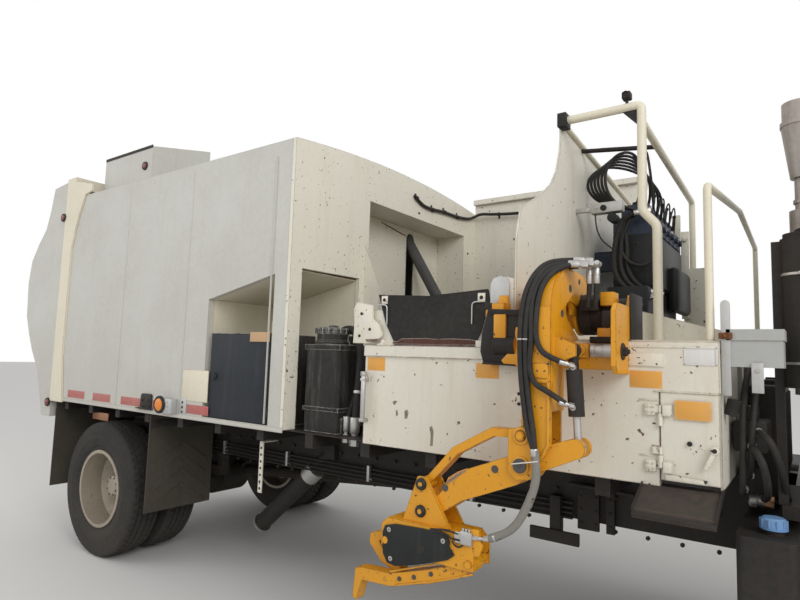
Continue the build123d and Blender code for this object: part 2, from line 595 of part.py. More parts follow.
# Front face: corner posts, crowned head and the deep recess over the pack opening
recess_y0 = -470.0
recess_y1 = 900.0
recess_top = 2750.0
recess_depth = 280.0
face_lip = 8.0
pack_top = 2000.0
slot_y = 450.0
slot_half = 58.0
slot_top = 2712.0
with BuildPart() as body_front:
    with BuildSketch(Plane.YZ.offset(body_front_x - face_wall)) as face_section:
        with BuildLine():
            Line((-body_half, floor_z + wall), (-body_half, body_top))
            ThreePointArc((-body_half, body_top), (0.0, body_top + crown), (body_half, body_top))
            Polyline((body_half, body_top), (body_half, floor_z + wall), (-body_half, floor_z + wall))
        make_face()
    extrude(face_section.sketch, amount=face_wall, dir=(1, 0, 0))
    plate_x(body_front_x - face_wall - 1.0, face_wall + 2.0, [
        (recess_y0, floor_z), (recess_y1, floor_z), (recess_y1, recess_top),
        (recess_y0, recess_top)], mode=Mode.SUBTRACT)
    plate_x(body_front_x - face_wall - 1.0, face_wall + 2.0, [
        (-body_half + post_depth, floor_z), (bay_inner_y, floor_z),
        (bay_inner_y, bay_ceiling_front + 46.0), (-body_half + post_depth, bay_ceiling_front + 40.0)],
        mode=Mode.SUBTRACT)
    box_between(post_rear_x, body_front_x - face_wall + 1.0, -body_half + side_wall, -body_half + post_depth,
                floor_z + wall, bay_ceiling_front - 4.0)
    box_between(body_front_x - recess_depth, body_front_x - face_wall + 1.0, recess_y0, recess_y1,
                recess_top, recess_top + face_lip)
    for y0 in (recess_y0 - face_lip, recess_y1):
        box_between(body_front_x - recess_depth, body_front_x - face_wall + 1.0, y0, y0 + face_lip,
                    pack_top, recess_top + face_lip)
    box_between(body_front_x - recess_depth - face_lip, body_front_x - recess_depth, recess_y0 - face_lip,
                recess_y1 + face_lip, pack_top, recess_top + face_lip)
    cut_x0 = body_front_x - recess_depth - face_lip - 1.0
    cut_x1 = body_front_x - recess_depth + 1.0
    box_between(cut_x0, cut_x1, slot_y - slot_half, slot_y + slot_half, pack_top - 1.0, slot_top - slot_half,
                mode=Mode.SUBTRACT)
    rod_x(slot_y, slot_top - slot_half, slot_half, cut_x0, cut_x1, mode=Mode.SUBTRACT)
save(body_front.part, "body_front")

# Rear ring: posts with flared gusset plates that stand proud of the sides, and two beams
ring_top = body_top + 185.0
ring_proud = 15.0
tailgate_pin = (ring_rear_x - 20.0, ring_top + 35.0)
hinge_lug_y = 700.0
with BuildPart() as rear_ring:
    for side in (-1, 1):
        y0 = side * (body_half + ring_proud)
        y1 = side * (body_half + 0.3)
        plate_y(min(y0, y1), abs(y0 - y1), [
            (ring_rear_x, post_foot), (ring_front_x + 65.0, post_foot), (ring_front_x, post_foot + 430.0),
            (ring_front_x, body_top - 480.0), (ring_front_x + 45.0, body_top - 300.0),
            (ring_front_x + 101.0, body_top - 156.0),
            (ring_front_x + 178.0, body_top), (ring_front_x + 298.0, body_top + 20.0),
            (ring_front_x + 298.0, body_top + 80.0), (ring_rear_x, ring_top)])
        y1 = side * (body_half - 110.0)
        box_between(ring_rear_x, ring_front_x - seam, min(y0, y1), max(y0, y1), post_foot, ring_top)
    box_between(ring_rear_x, ring_front_x - seam, -body_half, body_half, ring_top - 100.0, ring_top)
    box_between(ring_rear_x, ring_front_x - seam, -body_half, body_half, floor_z - 20.0, floor_z + 60.0)
    for side in (-1, 1):
        for offset in (-46.0, 26.0):
            y0 = side * hinge_lug_y + offset
            plate_y(y0, 20.0, [
                (ring_rear_x - 55.0, ring_top + 35.0), (ring_rear_x - 20.0, ring_top + 70.0),
                (ring_rear_x + 90.0, ring_top), (ring_rear_x + 90.0, ring_top - 1.0), (ring_rear_x, ring_top - 1.0),
                (ring_rear_x - 55.0, ring_top + 10.0)])
        rod_y(tailgate_pin[0], tailgate_pin[1], pin_radius, side * hinge_lug_y - 46.0, side * hinge_lug_y + 46.0)
save(rear_ring.part, "rear_ring")

# Tailgate: a deep hollow shell bulging to the rear, on two hinge lugs
tailgate_wall = 40.0
tailgate_gap = 6.0
tail_x = ring_rear_x - tailgate_gap
tail_outline = [(tail_x, 1010.0), (tail_x, ring_top - 15.0), (tail_x - 275.0, ring_top - 45.0),
                (tail_x - 330.0, 2900.0),
                (tail_x - 390.0, 2740.0), (tail_x - 525.0, 2600.0), (tail_x - 635.0, 2450.0),
                (tail_x - 674.0, 2240.0), (tail_x - 644.0, 1915.0), (tail_x - 565.0, 1750.0),
                (tail_x - 475.0, 1600.0), (tail_x - 310.0, 1400.0), (tail_x - 155.0, 1010.0)]
tail_hollow = [(tail_x + 1.0, 1200.0), (tail_x + 1.0, ring_top - 75.0), (tail_x - 240.0, ring_top - 90.0),
               (tail_x - 290.0, 2890.0),
               (tail_x - 355.0, 2715.0), (tail_x - 490.0, 2570.0), (tail_x - 598.0, 2430.0),
               (tail_x - 633.0, 2240.0), (tail_x - 605.0, 1925.0), (tail_x - 530.0, 1772.0),
               (tail_x - 440.0, 1622.0), (tail_x - 275.0, 1420.0), (tail_x - 190.0, 1200.0)]
with BuildPart() as tailgate:
    plate_y(-body_half, 2 * body_half, tail_outline)
    plate_y(-body_half + tailgate_wall, 2 * (body_half - tailgate_wall), tail_hollow, mode=Mode.SUBTRACT)
    for side in (-1, 1):
        y0 = side * hinge_lug_y - 24.0
        plate_y(y0, 48.0, [
            (tail_x - 60.0, ring_top - 35.0), (tail_x - 60.0, ring_top + 40.0), (tail_x - 30.0, ring_top + 68.0),
            (tail_x, ring_top + 68.0), (tail_x + 12.0, ring_top + 40.0), (tail_x, ring_top - 35.0)])
        rod_y(tailgate_pin[0], tailgate_pin[1], pin_radius + running, y0 - 1.0, y0 + 49.0, mode=Mode.SUBTRACT)
save(tailgate.part, "tailgate")

# Roof housing: a low twin-peaked cover over the roof near the tail
housing_x0 = rear_axle_x - 500.0
housing_x1 = rear_axle_x + 250.0
housing_half = body_half - 120.0
housing_top = body_top + 450.0
peak_y = housing_half / 2
with BuildPart() as roof_housing:
    plate_x(housing_x0, housing_x1 - housing_x0, [
        (-housing_half, body_top + 15.0), (-housing_half, body_top + 330.0), (-peak_y, housing_top),
        (-peak_y, housing_top - 100.0), (peak_y, housing_top - 100.0), (peak_y, housing_top),
        (housing_half, body_top + 330.0), (housing_half, body_top + 15.0)])
    with BuildSketch(Plane.YZ.offset(housing_x0 - 1.0)) as under_roof:
        with Locations((0.0, body_top + crown - crown_radius)):
            Circle(crown_radius + 0.3)
    extrude(under_roof.sketch, amount=housing_x1 - housing_x0 + 2.0, dir=(1, 0, 0), mode=Mode.SUBTRACT)
save(roof_housing.part, "roof_housing")

# Equipment in the bay and on the platform ahead of it: a cabinet and a tank
with BuildPart() as bay_equipment:
    box_between(body_front_x + 60.0, body_front_x + 340.0, -body_half + 100.0, -700.0, floor_z + wall, 1690.0)
    fillet(bay_equipment.edges().filter_by(Axis.Z), radius=25.0)
    rod_z(body_front_x + 130.0, -body_half + 210.0, 45.0, 1689.0, 1760.0)
    box_between(bay_rear_x + 40.0, post_rear_x - 12.0, -body_half + 12.0, -820.0, floor_z + wall, 1755.0)
save(bay_equipment.part, "bay_equipment")

# Hopper side: the near panel with its sill, end brackets and the door opening
door_rear_x = deck_front_x - 205.0
door_top = 1528.0
side_hinges = (floor_z + 70.0, door_top - 130.0)
side_hinge_y = -body_half - 8.0
side_knuckle = 50.0
side_pin = 3.5
deck_z = 1725.0
front_plate = 10.0
with BuildPart() as hopper_side:
    plate_y(-body_half, side_wall, [
        (hopper_rear_x, floor_z), (door_rear_x - 5.0, floor_z), (door_rear_x - 5.0, door_top + 5.0),
        (deck_front_x, door_top + 5.0), (deck_front_x, deck_z), (front_wall_x, deck_z),
        (front_wall_x, 2010.0), (front_wall_x - 40.0, 2020.0), (front_wall_x - 120.0, 1990.0),
        (front_wall_x - 165.0, 1762.0), (front_wall_x - 205.0, sill_z + 36.0), (hopper_rear_x + 198.0, sill_z + 36.0),
        (hopper_rear_x + 136.0, 1804.0), (hopper_rear_x + 125.0, 1882.0), (hopper_rear_x, 1882.0)])
    box_between(hopper_rear_x, front_wall_x - 100.0, -body_half - 14.0, -body_half, 1634.0, sill_z)
    for z in side_hinges:
        z0 = z + side_knuckle + 0.5
        box_between(door_rear_x - 30.0, door_rear_x - 6.0, side_hinge_y - 2.0, -body_half + 1.0, z0, z0 + 30.0)
        box_between(door_rear_x - 7.0, door_rear_x, side_hinge_y - 2.0, side_hinge_y + 2.0, z0, z0 + 30.0)
        rod_z(door_rear_x, side_hinge_y, 6.0, z0, z0 + 30.0)
        rod_z(door_rear_x, side_hinge_y, side_pin, z, z0 + 30.0)
save(hopper_side.part, "hopper_side")

# Neck and far wall: the hopper's rear plate, neck side and the tall street-side wall with its rail
with BuildPart() as hopper_walls:
    box_between(hopper_rear_x, hopper_rear_x + 8.0, -body_half + side_wall, neck_wall_y, floor_z + wall, 1880.0)
    plate_y(neck_wall_y - 8.0, 8.0, [
        (body_front_x, floor_z + wall), (hopper_rear_x + 8.0, floor_z + wall), (hopper_rear_x + 8.0, 1880.0),
        (body_front_x + 140.0, 1880.0), (body_front_x + 140.0, 2050.0), (body_front_x + 125.0, 2140.0),
        (body_front_x, 2415.0)])
    box_between(body_front_x, front_wall_x, far_wall_y, far_wall_y + 12.0, floor_z + wall, far_wall_top)
    box_between(body_front_x, front_wall_x, far_wall_y - 40.0, far_wall_y + 20.0, far_wall_top, far_wall_top + 45.0)
save(hopper_walls.part, "hopper_walls")

# Hopper front wall: the tall wing with its notch for the arm
with BuildPart() as hopper_front:
    plate_x(front_wall_x, front_plate, [
        (-body_half + side_wall, floor_z + wall), (-body_half + side_wall, deck_z + 0.3), (-body_half, deck_z + 0.3),
        (-body_half + 5.0, body_top - 780.0), (-body_half + 49.0, body_top - 628.0),
        (-body_half + 170.0, body_top - 568.0), (-body_half + 320.0, body_top - 485.0),
        (-body_half + 426.0, body_top - 413.0), (-body_half + 505.0, body_top - 320.0),
        (-body_half + 555.0, body_top - 200.0), (-body_half + 570.0, body_top - 110.0),
        (-body_half + 563.0, body_top + 10.0), (far_wall_y - 290.0, body_top - 130.0),
        (far_wall_y, body_top - 130.0), (far_wall_y, floor_z + wall)])
save(hopper_front.part, "hopper_front")

# Front deck: shelf over the pump room, its front wall, cross beam and sloped coaming
shelf = 8.0
coaming_y = -body_half + 602.0
deck_rear_x = front_wall_x + front_plate
with BuildPart() as front_deck:
    box_between(deck_rear_x, deck_front_x, -body_half + side_wall, far_wall_y, deck_z, deck_z + shelf)
    box_between(deck_front_x - shelf, deck_front_x, -body_half + side_wall, coaming_y, floor_z + wall, deck_z + 1.0)
    box_between(deck_front_x - 70.0, deck_front_x, coaming_y - 1.0, far_wall_y, deck_z - 80.0, deck_z + 1.0)
    for y0 in (-frame_half, frame_half - sill_width):
        box_between(deck_front_x - 70.0, deck_front_x, y0, y0 + sill_width, floor_z + wall, deck_z - 79.0)
    plate_y(coaming_y, 10.0, [
        (deck_rear_x, deck_z + 1.0), (deck_front_x, deck_z + 1.0), (deck_front_x, deck_z + 60.0),
        (front_wall_x + 360.0, deck_z + 188.0), (deck_rear_x, deck_z + 225.0)])
save(front_deck.part, "front_deck")

# Small side door of the pump room
with BuildPart() as hopper_door:
    box_between(door_rear_x, deck_front_x - 2.0, -body_half, -body_half + 22.0, floor_z + 25.0, door_top)
    for z in side_hinges:
        rod_z(door_rear_x, side_hinge_y, 9.0, z, z + side_knuckle)
        rod_z(door_rear_x, side_hinge_y, side_pin + running, z - 1.0, z + side_knuckle + 1.0, mode=Mode.SUBTRACT)
save(hopper_door.part, "hopper_door")

# Step tray: a folded plate that slopes outwards under the door
with BuildPart() as step_tray:
    plate_x(door_rear_x - 70.0, 275.0, [
        (-body_half + 70.0, floor_z), (-body_half + 70.0, floor_z - 6.0), (-body_half, floor_z - 6.0),
        (-body_half - 150.0, floor_z - 68.0), (-body_half - 152.0, floor_z - 96.0),
        (-body_half - 158.0, floor_z - 96.0), (-body_half - 156.0, floor_z - 62.0), (-body_half - 2.0, floor_z)])
save(step_tray.part, "step_tray")

# Rubber flap over the side opening of the hopper
with BuildPart() as rubber_flap:
    plate_y(-body_half - 10.0, 9.7, [
        (hopper_rear_x + 82.0, 1961.0), (hopper_rear_x + 396.0, 1944.0), (hopper_rear_x + 730.0, 1965.0),
        (hopper_rear_x + 741.0, 1913.0), (hopper_rear_x + 697.0, 1762.0), (hopper_rear_x + 662.0, 1700.0),
        (hopper_rear_x + 198.0, 1700.0), (hopper_rear_x + 136.0, 1804.0)])
save(rubber_flap.part, "rubber_flap")

# Guard frame round the valves, and the tall grab hoop at the deck's front
guard_y = -657.0
guard_far_y = 800.0
guard_top = 2954.0
guard_tube = 54.0
guard_front_x = front_wall_x + 433.0
deck_top = deck_z + shelf
hoop_x = deck_front_x - 35.0
hoop_tube = 38.0
hoop_ends = (-body_half + 60.0, body_half - 150.0)
with BuildPart() as deck_rails:
    square_path([(deck_rear_x, guard_y, guard_top), (guard_front_x, guard_y, guard_top),
                 (guard_front_x, guard_y, 2400.0), (guard_front_x + 68.0, guard_y, 2320.0),
                 (guard_front_x + 68.0, guard_y, deck_top)], guard_tube)
    square_path([(guard_front_x, guard_y, guard_top - 30.0), (guard_front_x, guard_far_y, 2820.0),
                 (guard_front_x, guard_far_y, deck_top)], guard_tube - 8.0)
    square_path([(hoop_x, hoop_ends[0], deck_top), (hoop_x, hoop_ends[0], 2380.0), (hoop_x, 70.0, 2550.0),
                 (hoop_x, hoop_ends[1], 2510.0), (hoop_x, hoop_ends[1], deck_top)], hoop_tube)
save(deck_rails.part, "deck_rails")

# Valve bank on brackets ahead of the hopper wall, and the lidded box on the deck's corner
valve_count = 6
valve_pitch = 125.0
bank_z = (deck_z + 355.0, deck_z + 775.0)
with BuildPart() as deck_equipment:
    box_between(front_wall_x + 150.0, front_wall_x + 380.0, -150.0, 640.0, bank_z[0], bank_z[1])
    for n in range(valve_count):
        y0 = -120.0 + n * valve_pitch
        box_between(front_wall_x + 190.0, front_wall_x + 340.0, y0, y0 + 80.0,
                    bank_z[1] - 1.0, bank_z[1] + 80.0)
    for y0 in (-60.0, 500.0):
        box_between(deck_rear_x, front_wall_x + 151.0, y0, y0 + 60.0, bank_z[0] + 120.0, bank_z[0] + 240.0)
save(deck_equipment.part, "deck_equipment")

# Lidded box on the deck's corner
with BuildPart() as control_box:
    box_between(deck_front_x + 25.0, deck_front_x + 200.0, -body_half + 40.0, -body_half + 200.0,
                deck_z - 90.0, deck_z + 10.0)
    box_between(deck_front_x + 20.0, deck_front_x + 205.0, -body_half + 35.0, -body_half + 205.0,
                deck_z + 9.0, deck_z + 50.0)
    box_between(deck_front_x, deck_front_x + 26.0, -body_half + 90.0, -body_half + 150.0,
                deck_z - 195.0, deck_z - 25.0)
save(control_box.part, "control_box")

# Packer: a pusher block with a slanted face that slides through the neck
packer_stroke = 1000.0
packer_clear = 12.0
with BuildPart() as packer:
    plate_y(recess_y0 + packer_clear, recess_y1 - recess_y0 - 2 * packer_clear, [
        (front_wall_x - 15.0, floor_z + wall + 0.3), (front_wall_x - 415.0, floor_z + wall + 0.3),
        (front_wall_x - 365.0, 1600.0), (front_wall_x - 15.0, 1600.0)])
save(packer.part, "packer")

# Packing cylinder through the slot, footed on a cross tube, its head block behind the recess
cyl_top = (body_front_x - recess_depth - 60.0, 2705.0)
cyl_foot = (body_front_x + 255.0, 1760.0)
recess_back = body_front_x - recess_depth - face_lip
with BuildPart() as packing_cylinder:
    bar((cyl_top[0], slot_y, cyl_top[1]), (cyl_foot[0], slot_y, cyl_foot[1]), 46.0)
    rod_y(cyl_foot[0], cyl_foot[1], 50.0, neck_wall_y, far_wall_y)
    box_between(recess_back - 102.0, recess_back, slot_y - 90.0, slot_y + 90.0, 2650.0, recess_top + face_lip)
save(packing_cylinder.part, "packing_cylinder")

# Arm base: two bearing brackets on the hopper side, the drive barrel between them and a stop block
bracket_depth = 40.0
bracket_x0 = front_wall_x + 43.0
carrier_depth = 20.0
carrier_x = boom_x0 + boom_width + 205.0
carrier_front = -body_half - 180.0
carrier_z = (1593.0, 1868.0)
carrier_corner = 30.0
bearing_top = lift_z + hub_radius + 14.0
with BuildPart() as arm_base:
    plate_x(bracket_x0, bracket_depth, [
        (-body_half, 1590.0), (-body_half - 70.0, 1620.0), (-body_half - 80.0, 1760.0),
        (-body_half - 10.0, 1930.0), (lift_y, 1975.0), (lift_y + 115.0, 1930.0), (lift_y + 145.0, lift_z),
        (lift_y + 115.0, deck_top), (-body_half, deck_top)])
    plate_x(carrier_x, carrier_depth, [
        (-body_half, carrier_z[0]), (carrier_front + carrier_corner, carrier_z[0]),
        (carrier_front, carrier_z[0] + carrier_corner), (carrier_front, carrier_z[1] - carrier_corner),
        (carrier_front + carrier_corner, carrier_z[1]), (lift_y - 80.0, carrier_z[1]),
        (lift_y - 45.0, bearing_top), (lift_y + 45.0, bearing_top), (lift_y + 90.0, carrier_z[1]),
        (lift_y + 90.0, deck_top), (-body_half, deck_top)])
    rod_x(lift_y, lift_z, hub_radius, bracket_x0 - 20.0, carrier_x + carrier_depth + 6.0)
    box_between(bracket_x0 - 150.0, bracket_x0 - 60.0, -body_half - 70.0, -body_half, sill_z, 1890.0)
    rod_x(-body_half - 50.0, 1700.0, 45.0, bracket_x0 - 61.0, bracket_x0 + 1.0)
save(arm_base.part, "arm_base")

# Boom: a gooseneck of two side plates and an outer band, with a clevis for the forearm
crook_y = -body_half - 70.0
crook_z = 1835.0
crook_radius = 195.0
crook_inner = 50.0
boss_radius = hub_radius + 30.0
boom_foot_z = 1440.0
boom_inner_y = boom_outer_y + boom_depth
clevis_gap = 92.0
inner_cheek_y = boom_outer_y + cheek + clevis_gap
clevis_mid_y = boom_outer_y + cheek + clevis_gap / 2
side_plate = 14.0
top_pin = (boom_x0 + boom_width + 67.0, 1680.0)
top_pin_radius = 14.0
cyl_eye_half = 20.0

with BuildPart() as boom:
    for x in (boom_x0, boom_x0 + boom_width - side_plate):
        with BuildSketch(Plane.YZ.offset(x)) as crook:
            with Locations((crook_y, crook_z)):
                Circle(crook_radius)
            with Locations((crook_y, crook_z - crook_radius / 2)):
                Rectangle(2 * crook_radius, crook_radius, mode=Mode.SUBTRACT)
            with Locations(((boom_outer_y + boom_inner_y) / 2, (boom_foot_z + crook_z) / 2)):
                Rectangle(boom_depth, crook_z - boom_foot_z + 2.0)
            with Locations((lift_y, lift_z)):
                Circle(boss_radius)
            with Locations((crook_y, crook_z)):
                Circle(crook_inner, mode=Mode.SUBTRACT)
            with Locations((lift_y, lift_z)):
                Circle(hub_radius + running, mode=Mode.SUBTRACT)
        extrude(crook.sketch, amount=side_plate, dir=(1, 0, 0))
    with BuildSketch(Plane.YZ.offset(boom_x0)) as band:
        with Locations((crook_y, crook_z)):
            Circle(crook_radius)
            Circle(crook_radius - cheek, mode=Mode.SUBTRACT)
        with Locations((crook_y, crook_z - crook_radius / 2)):
            Rectangle(2 * crook_radius, crook_radius, mode=Mode.SUBTRACT)
        with Locations((crook_y + crook_radius, crook_z + 60.0)):
            Rectangle(140.0, 130.0, mode=Mode.SUBTRACT)
    extrude(band.sketch, amount=boom_width, dir=(1, 0, 0))
    for y in (boom_outer_y, inner_cheek_y):
        plate_y(y, cheek, [
            (boom_x0, crook_z), (boom_x0, 1372.0), (elbow_x - 55.0, 1360.0), (elbow_x - 55.0, elbow_z - 30.0),
            (elbow_x - 20.0, elbow_z - 60.0), (elbow_x + 40.0, elbow_z - 50.0), (boom_x0 + 76.0, elbow_z + 10.0),
            (boom_x0 + boom_width, elbow_z + 85.0), (boom_x0 + boom_width, crook_z)])
    for z in (elbow_z, elbow_z + link_gap):
        rod_y(elbow_x, z, pin_radius, boom_outer_y - 12.0, inner_cheek_y + cheek + 12.0)
    for y in (clevis_mid_y - cyl_eye_half - 15.0, clevis_mid_y + cyl_eye_half + 3.0):
        plate_y(y, 12.0, [
            (boom_x0 + boom_width - 1.0, top_pin[1] - 60.0), (top_pin[0] + 22.0, top_pin[1] - 22.0),
            (top_pin[0] + 22.0, top_pin[1] + 22.0), (boom_x0 + boom_width - 1.0, top_pin[1] + 60.0)])
    rod_y(top_pin[0], top_pin[1], top_pin_radius, clevis_mid_y - 36.0, clevis_mid_y + 36.0)
save(boom.part, "boom")

# Forearm and the link above it: both run down and back from the elbow at the same slope
slope = radians(forearm_slope)
forearm_end = (elbow_x - forearm_length * cos(slope), elbow_z - forearm_length * sin(slope))
link_end = (forearm_end[0], forearm_end[1] + link_gap)


def along(x, z, outline):
    """Outline points (s, t): s runs down the forearm's line from (x, z), t stands square above it."""
    return [(x - s * cos(slope) - t * sin(slope), z - s * sin(slope) + t * cos(slope)) for s, t in outline]


arm_half = clevis_gap / 2 - side_play
crank_eye = (elbow_x + 209.0, elbow_z + 84.0)
crank_slot = cyl_eye_half + 2.0
with BuildPart() as forearm:
    plate_y(clevis_mid_y - arm_half, 2 * arm_half, along(elbow_x, elbow_z, [
        (0.0, 50.0), (60.0, 55.0), (230.0, 75.0), (330.0, 70.0), (420.0, 32.0), (forearm_length, 32.0),
        (forearm_length, -32.0), (430.0, -40.0), (330.0, -30.0), (200.0, -45.0), (60.0, -60.0), (0.0, -55.0)]))
    plate_y(clevis_mid_y - arm_half, 2 * arm_half, [
        (elbow_x, elbow_z + 52.0), (elbow_x, elbow_z - 52.0), (crank_eye[0] + 15.0, crank_eye[1] - 34.0),
        (crank_eye[0] - 15.0, crank_eye[1] + 36.0)])
    rod_y(elbow_x, elbow_z, 54.0, clevis_mid_y - arm_half, clevis_mid_y + arm_half)
    rod_y(forearm_end[0], forearm_end[1], 38.0, clevis_mid_y - arm_half, clevis_mid_y + arm_half)
    rod_y(crank_eye[0], crank_eye[1], 38.0, clevis_mid_y - arm_half, clevis_mid_y + arm_half)
    for x, z in ((elbow_x, elbow_z), forearm_end):
        rod_y(x, z, pin_radius + running, clevis_mid_y - arm_half - 1.0, clevis_mid_y + arm_half + 1.0,
              mode=Mode.SUBTRACT)
    box_between(crank_eye[0] - 60.0, crank_eye[0] + 60.0, clevis_mid_y - crank_slot, clevis_mid_y + crank_slot,
                crank_eye[1] - 60.0, crank_eye[1] + 60.0, mode=Mode.SUBTRACT)
save(forearm.part, "forearm")

with BuildPart() as upper_link:
    plate_y(clevis_mid_y - 28.0, 56.0, along(elbow_x, elbow_z + link_gap, [
        (0.0, 20.0), (120.0, 85.0), (330.0, 85.0), (430.0, 50.0), (forearm_length, 16.0),
        (forearm_length, -16.0), (420.0, 18.0), (320.0, 50.0), (130.0, 50.0), (0.0, -16.0)]))
    for x, z in ((elbow_x, elbow_z + link_gap), link_end):
        rod_y(x, z, 28.0, clevis_mid_y - 28.0, clevis_mid_y + 28.0)
    for x, z in ((elbow_x, elbow_z + link_gap), link_end):
        rod_y(x, z, pin_radius + running, clevis_mid_y - 29.0, clevis_mid_y + 29.0, mode=Mode.SUBTRACT)
save(upper_link.part, "upper_link")

# Gripper head: two hanger cheeks, a head block and the pins of both jaws
head_x0 = forearm_end[0] - 195.0
head_x1 = forearm_end[0] + 275.0
head_z1 = forearm_end[1] - 52.0
jaw_pin_radius = 16.0
front_jaw_pin = (forearm_end[0] + 250.0, forearm_end[1] - 165.0)
rear_jaw_pin = (forearm_end[0] - 170.0, forearm_end[1] - 150.0)
head_y0 = boom_outer_y - 20.0
head_y1 = inner_cheek_y + cheek
with BuildPart() as gripper_head:
    for y in (boom_outer_y, inner_cheek_y):
        plate_y(y, cheek, [
            (link_end[0] - 22.0, link_end[1] + 30.0), (link_end[0] + 22.0, link_end[1] + 30.0),
            (forearm_end[0] + 150.0, head_z1 - 1.0), (forearm_end[0] - 95.0, head_z1 - 1.0)])
    box_between(head_x0 + 30.0, head_x1 - 35.0, boom_outer_y, head_y1, head_z1 - 50.0, head_z1)
    for y in (head_y0, head_y1 - 12.0):
        plate_y(y, 12.0, [
            (head_x0, head_z1 - 30.0), (head_x0 + 30.0, head_z1), (head_x1 - 40.0, head_z1),
            (head_x1, head_z1 - 40.0), (head_x1, front_jaw_pin[1] - 25.0), (head_x1 - 70.0, front_jaw_pin[1] - 30.0),
            (head_x0 + 60.0, rear_jaw_pin[1] - 35.0), (head_x0, rear_jaw_pin[1] - 25.0)])
    box_between(head_x0 + 31.0, head_x1 - 41.0, head_y0 + 11.0, boom_outer_y + 1.0, head_z1 - 50.0, head_z1)
    for x, z in (front_jaw_pin, rear_jaw_pin):
        rod_y(x, z, jaw_pin_radius, head_y0 - 8.0, head_y1 + 8.0)
    for x, z in (forearm_end, link_end):
        rod_y(x, z, pin_radius, boom_outer_y - 12.0, inner_cheek_y + cheek + 12.0)
save(gripper_head.part, "gripper_head")

# Jaws: two curved bars in separate layers, closed under the head
jaw_depth = 56.0
front_jaw_y = head_y0 + 12.0 + side_play
rear_jaw_y = head_y1 - 12.0 - side_play - jaw_depth
with BuildPart() as jaw_front:
    fx, fz = front_jaw_pin
    plate_y(front_jaw_y, jaw_depth, [
        (fx + 6.0, fz + 34.0), (fx + 34.0, fz - 6.0), (fx - 30.0, fz - 60.0), (fx - 180.0, fz - 120.0),
        (fx - 400.0, fz - 185.0), (fx - 560.0, fz - 195.0), (fx - 590.0, fz - 290.0), (fx - 612.0, fz - 280.0),
        (fx - 600.0, fz - 150.0), (fx - 560.0, fz - 140.0), (fx - 400.0, fz - 130.0), (fx - 200.0, fz - 68.0),
        (fx - 50.0, fz - 12.0)])
    rod_y(fx, fz, 34.0, front_jaw_y, front_jaw_y + jaw_depth)
    rod_y(fx, fz, jaw_pin_radius + running, front_jaw_y - 1.0, front_jaw_y + jaw_depth + 1.0, mode=Mode.SUBTRACT)
save(jaw_front.part, "jaw_front")

with BuildPart() as jaw_rear:
    rx, rz = rear_jaw_pin
    plate_y(rear_jaw_y, jaw_depth, [
        (rx - 10.0, rz + 32.0), (rx + 32.0, rz), (rx - 40.0, rz - 30.0), (rx - 95.0, rz - 40.0),
        (rx - 60.0, rz - 90.0), (rx + 20.0, rz - 125.0), (rx + 40.0, rz - 150.0), (rx + 10.0, rz - 160.0),
        (rx - 80.0, rz - 130.0), (rx - 150.0, rz - 60.0), (rx - 145.0, rz - 15.0), (rx - 70.0, rz + 10.0)])
    rod_y(rx, rz, 34.0, rear_jaw_y, rear_jaw_y + jaw_depth)
    rod_y(rx, rz, jaw_pin_radius + running, rear_jaw_y - 1.0, rear_jaw_y + jaw_depth + 1.0, mode=Mode.SUBTRACT)
save(jaw_rear.part, "jaw_rear")

# Elbow cylinder: barrel on the boom's lug, rod towards the forearm's fork, where its eye is left free
cyl_axis = Vector(crank_eye[0] - top_pin[0], 0.0, crank_eye[1] - top_pin[1])
cyl_run = cyl_axis.length
cyl_axis = cyl_axis.normalized()
cyl_origin = Vector(top_pin[0], clevis_mid_y, top_pin[1])
barrel_radius = 31.0
barrel_start = 75.0
barrel_end = 255.0
rod_radius = 15.0
rod_start = 180.0
bore_start = barrel_start + 10.0


def cylinder_run(start, end, radius, mode=Mode.ADD):
    """A round bar on the cylinder's own line, between two distances from the top pin."""
    bar(cyl_origin + cyl_axis * start, cyl_origin + cyl_axis * end, radius, mode)


with BuildPart() as elbow_barrel:
    cylinder_run(barrel_start, barrel_end, barrel_radius)
    cylinder_run(22.0, barrel_start + 1.0, cyl_eye_half - 1.0)
    cylinder_run(bore_start, barrel_end + 1.0, rod_radius + running, mode=Mode.SUBTRACT)
    rod_y(top_pin[0], top_pin[1], 27.0, clevis_mid_y - cyl_eye_half, clevis_mid_y + cyl_eye_half)
    rod_y(top_pin[0], top_pin[1], top_pin_radius + running, clevis_mid_y - 40.0, clevis_mid_y + 40.0,
          mode=Mode.SUBTRACT)
save(elbow_barrel.part, "elbow_barrel")

with BuildPart() as elbow_rod:
    cylinder_run(rod_start, cyl_run - 22.0, rod_radius)
    rod_y(crank_eye[0], crank_eye[1], 30.0, clevis_mid_y - cyl_eye_half, clevis_mid_y + cyl_eye_half)
save(elbow_rod.part, "elbow_rod")
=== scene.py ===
import math

import bmesh
import bpy
from mathutils import Matrix, Vector


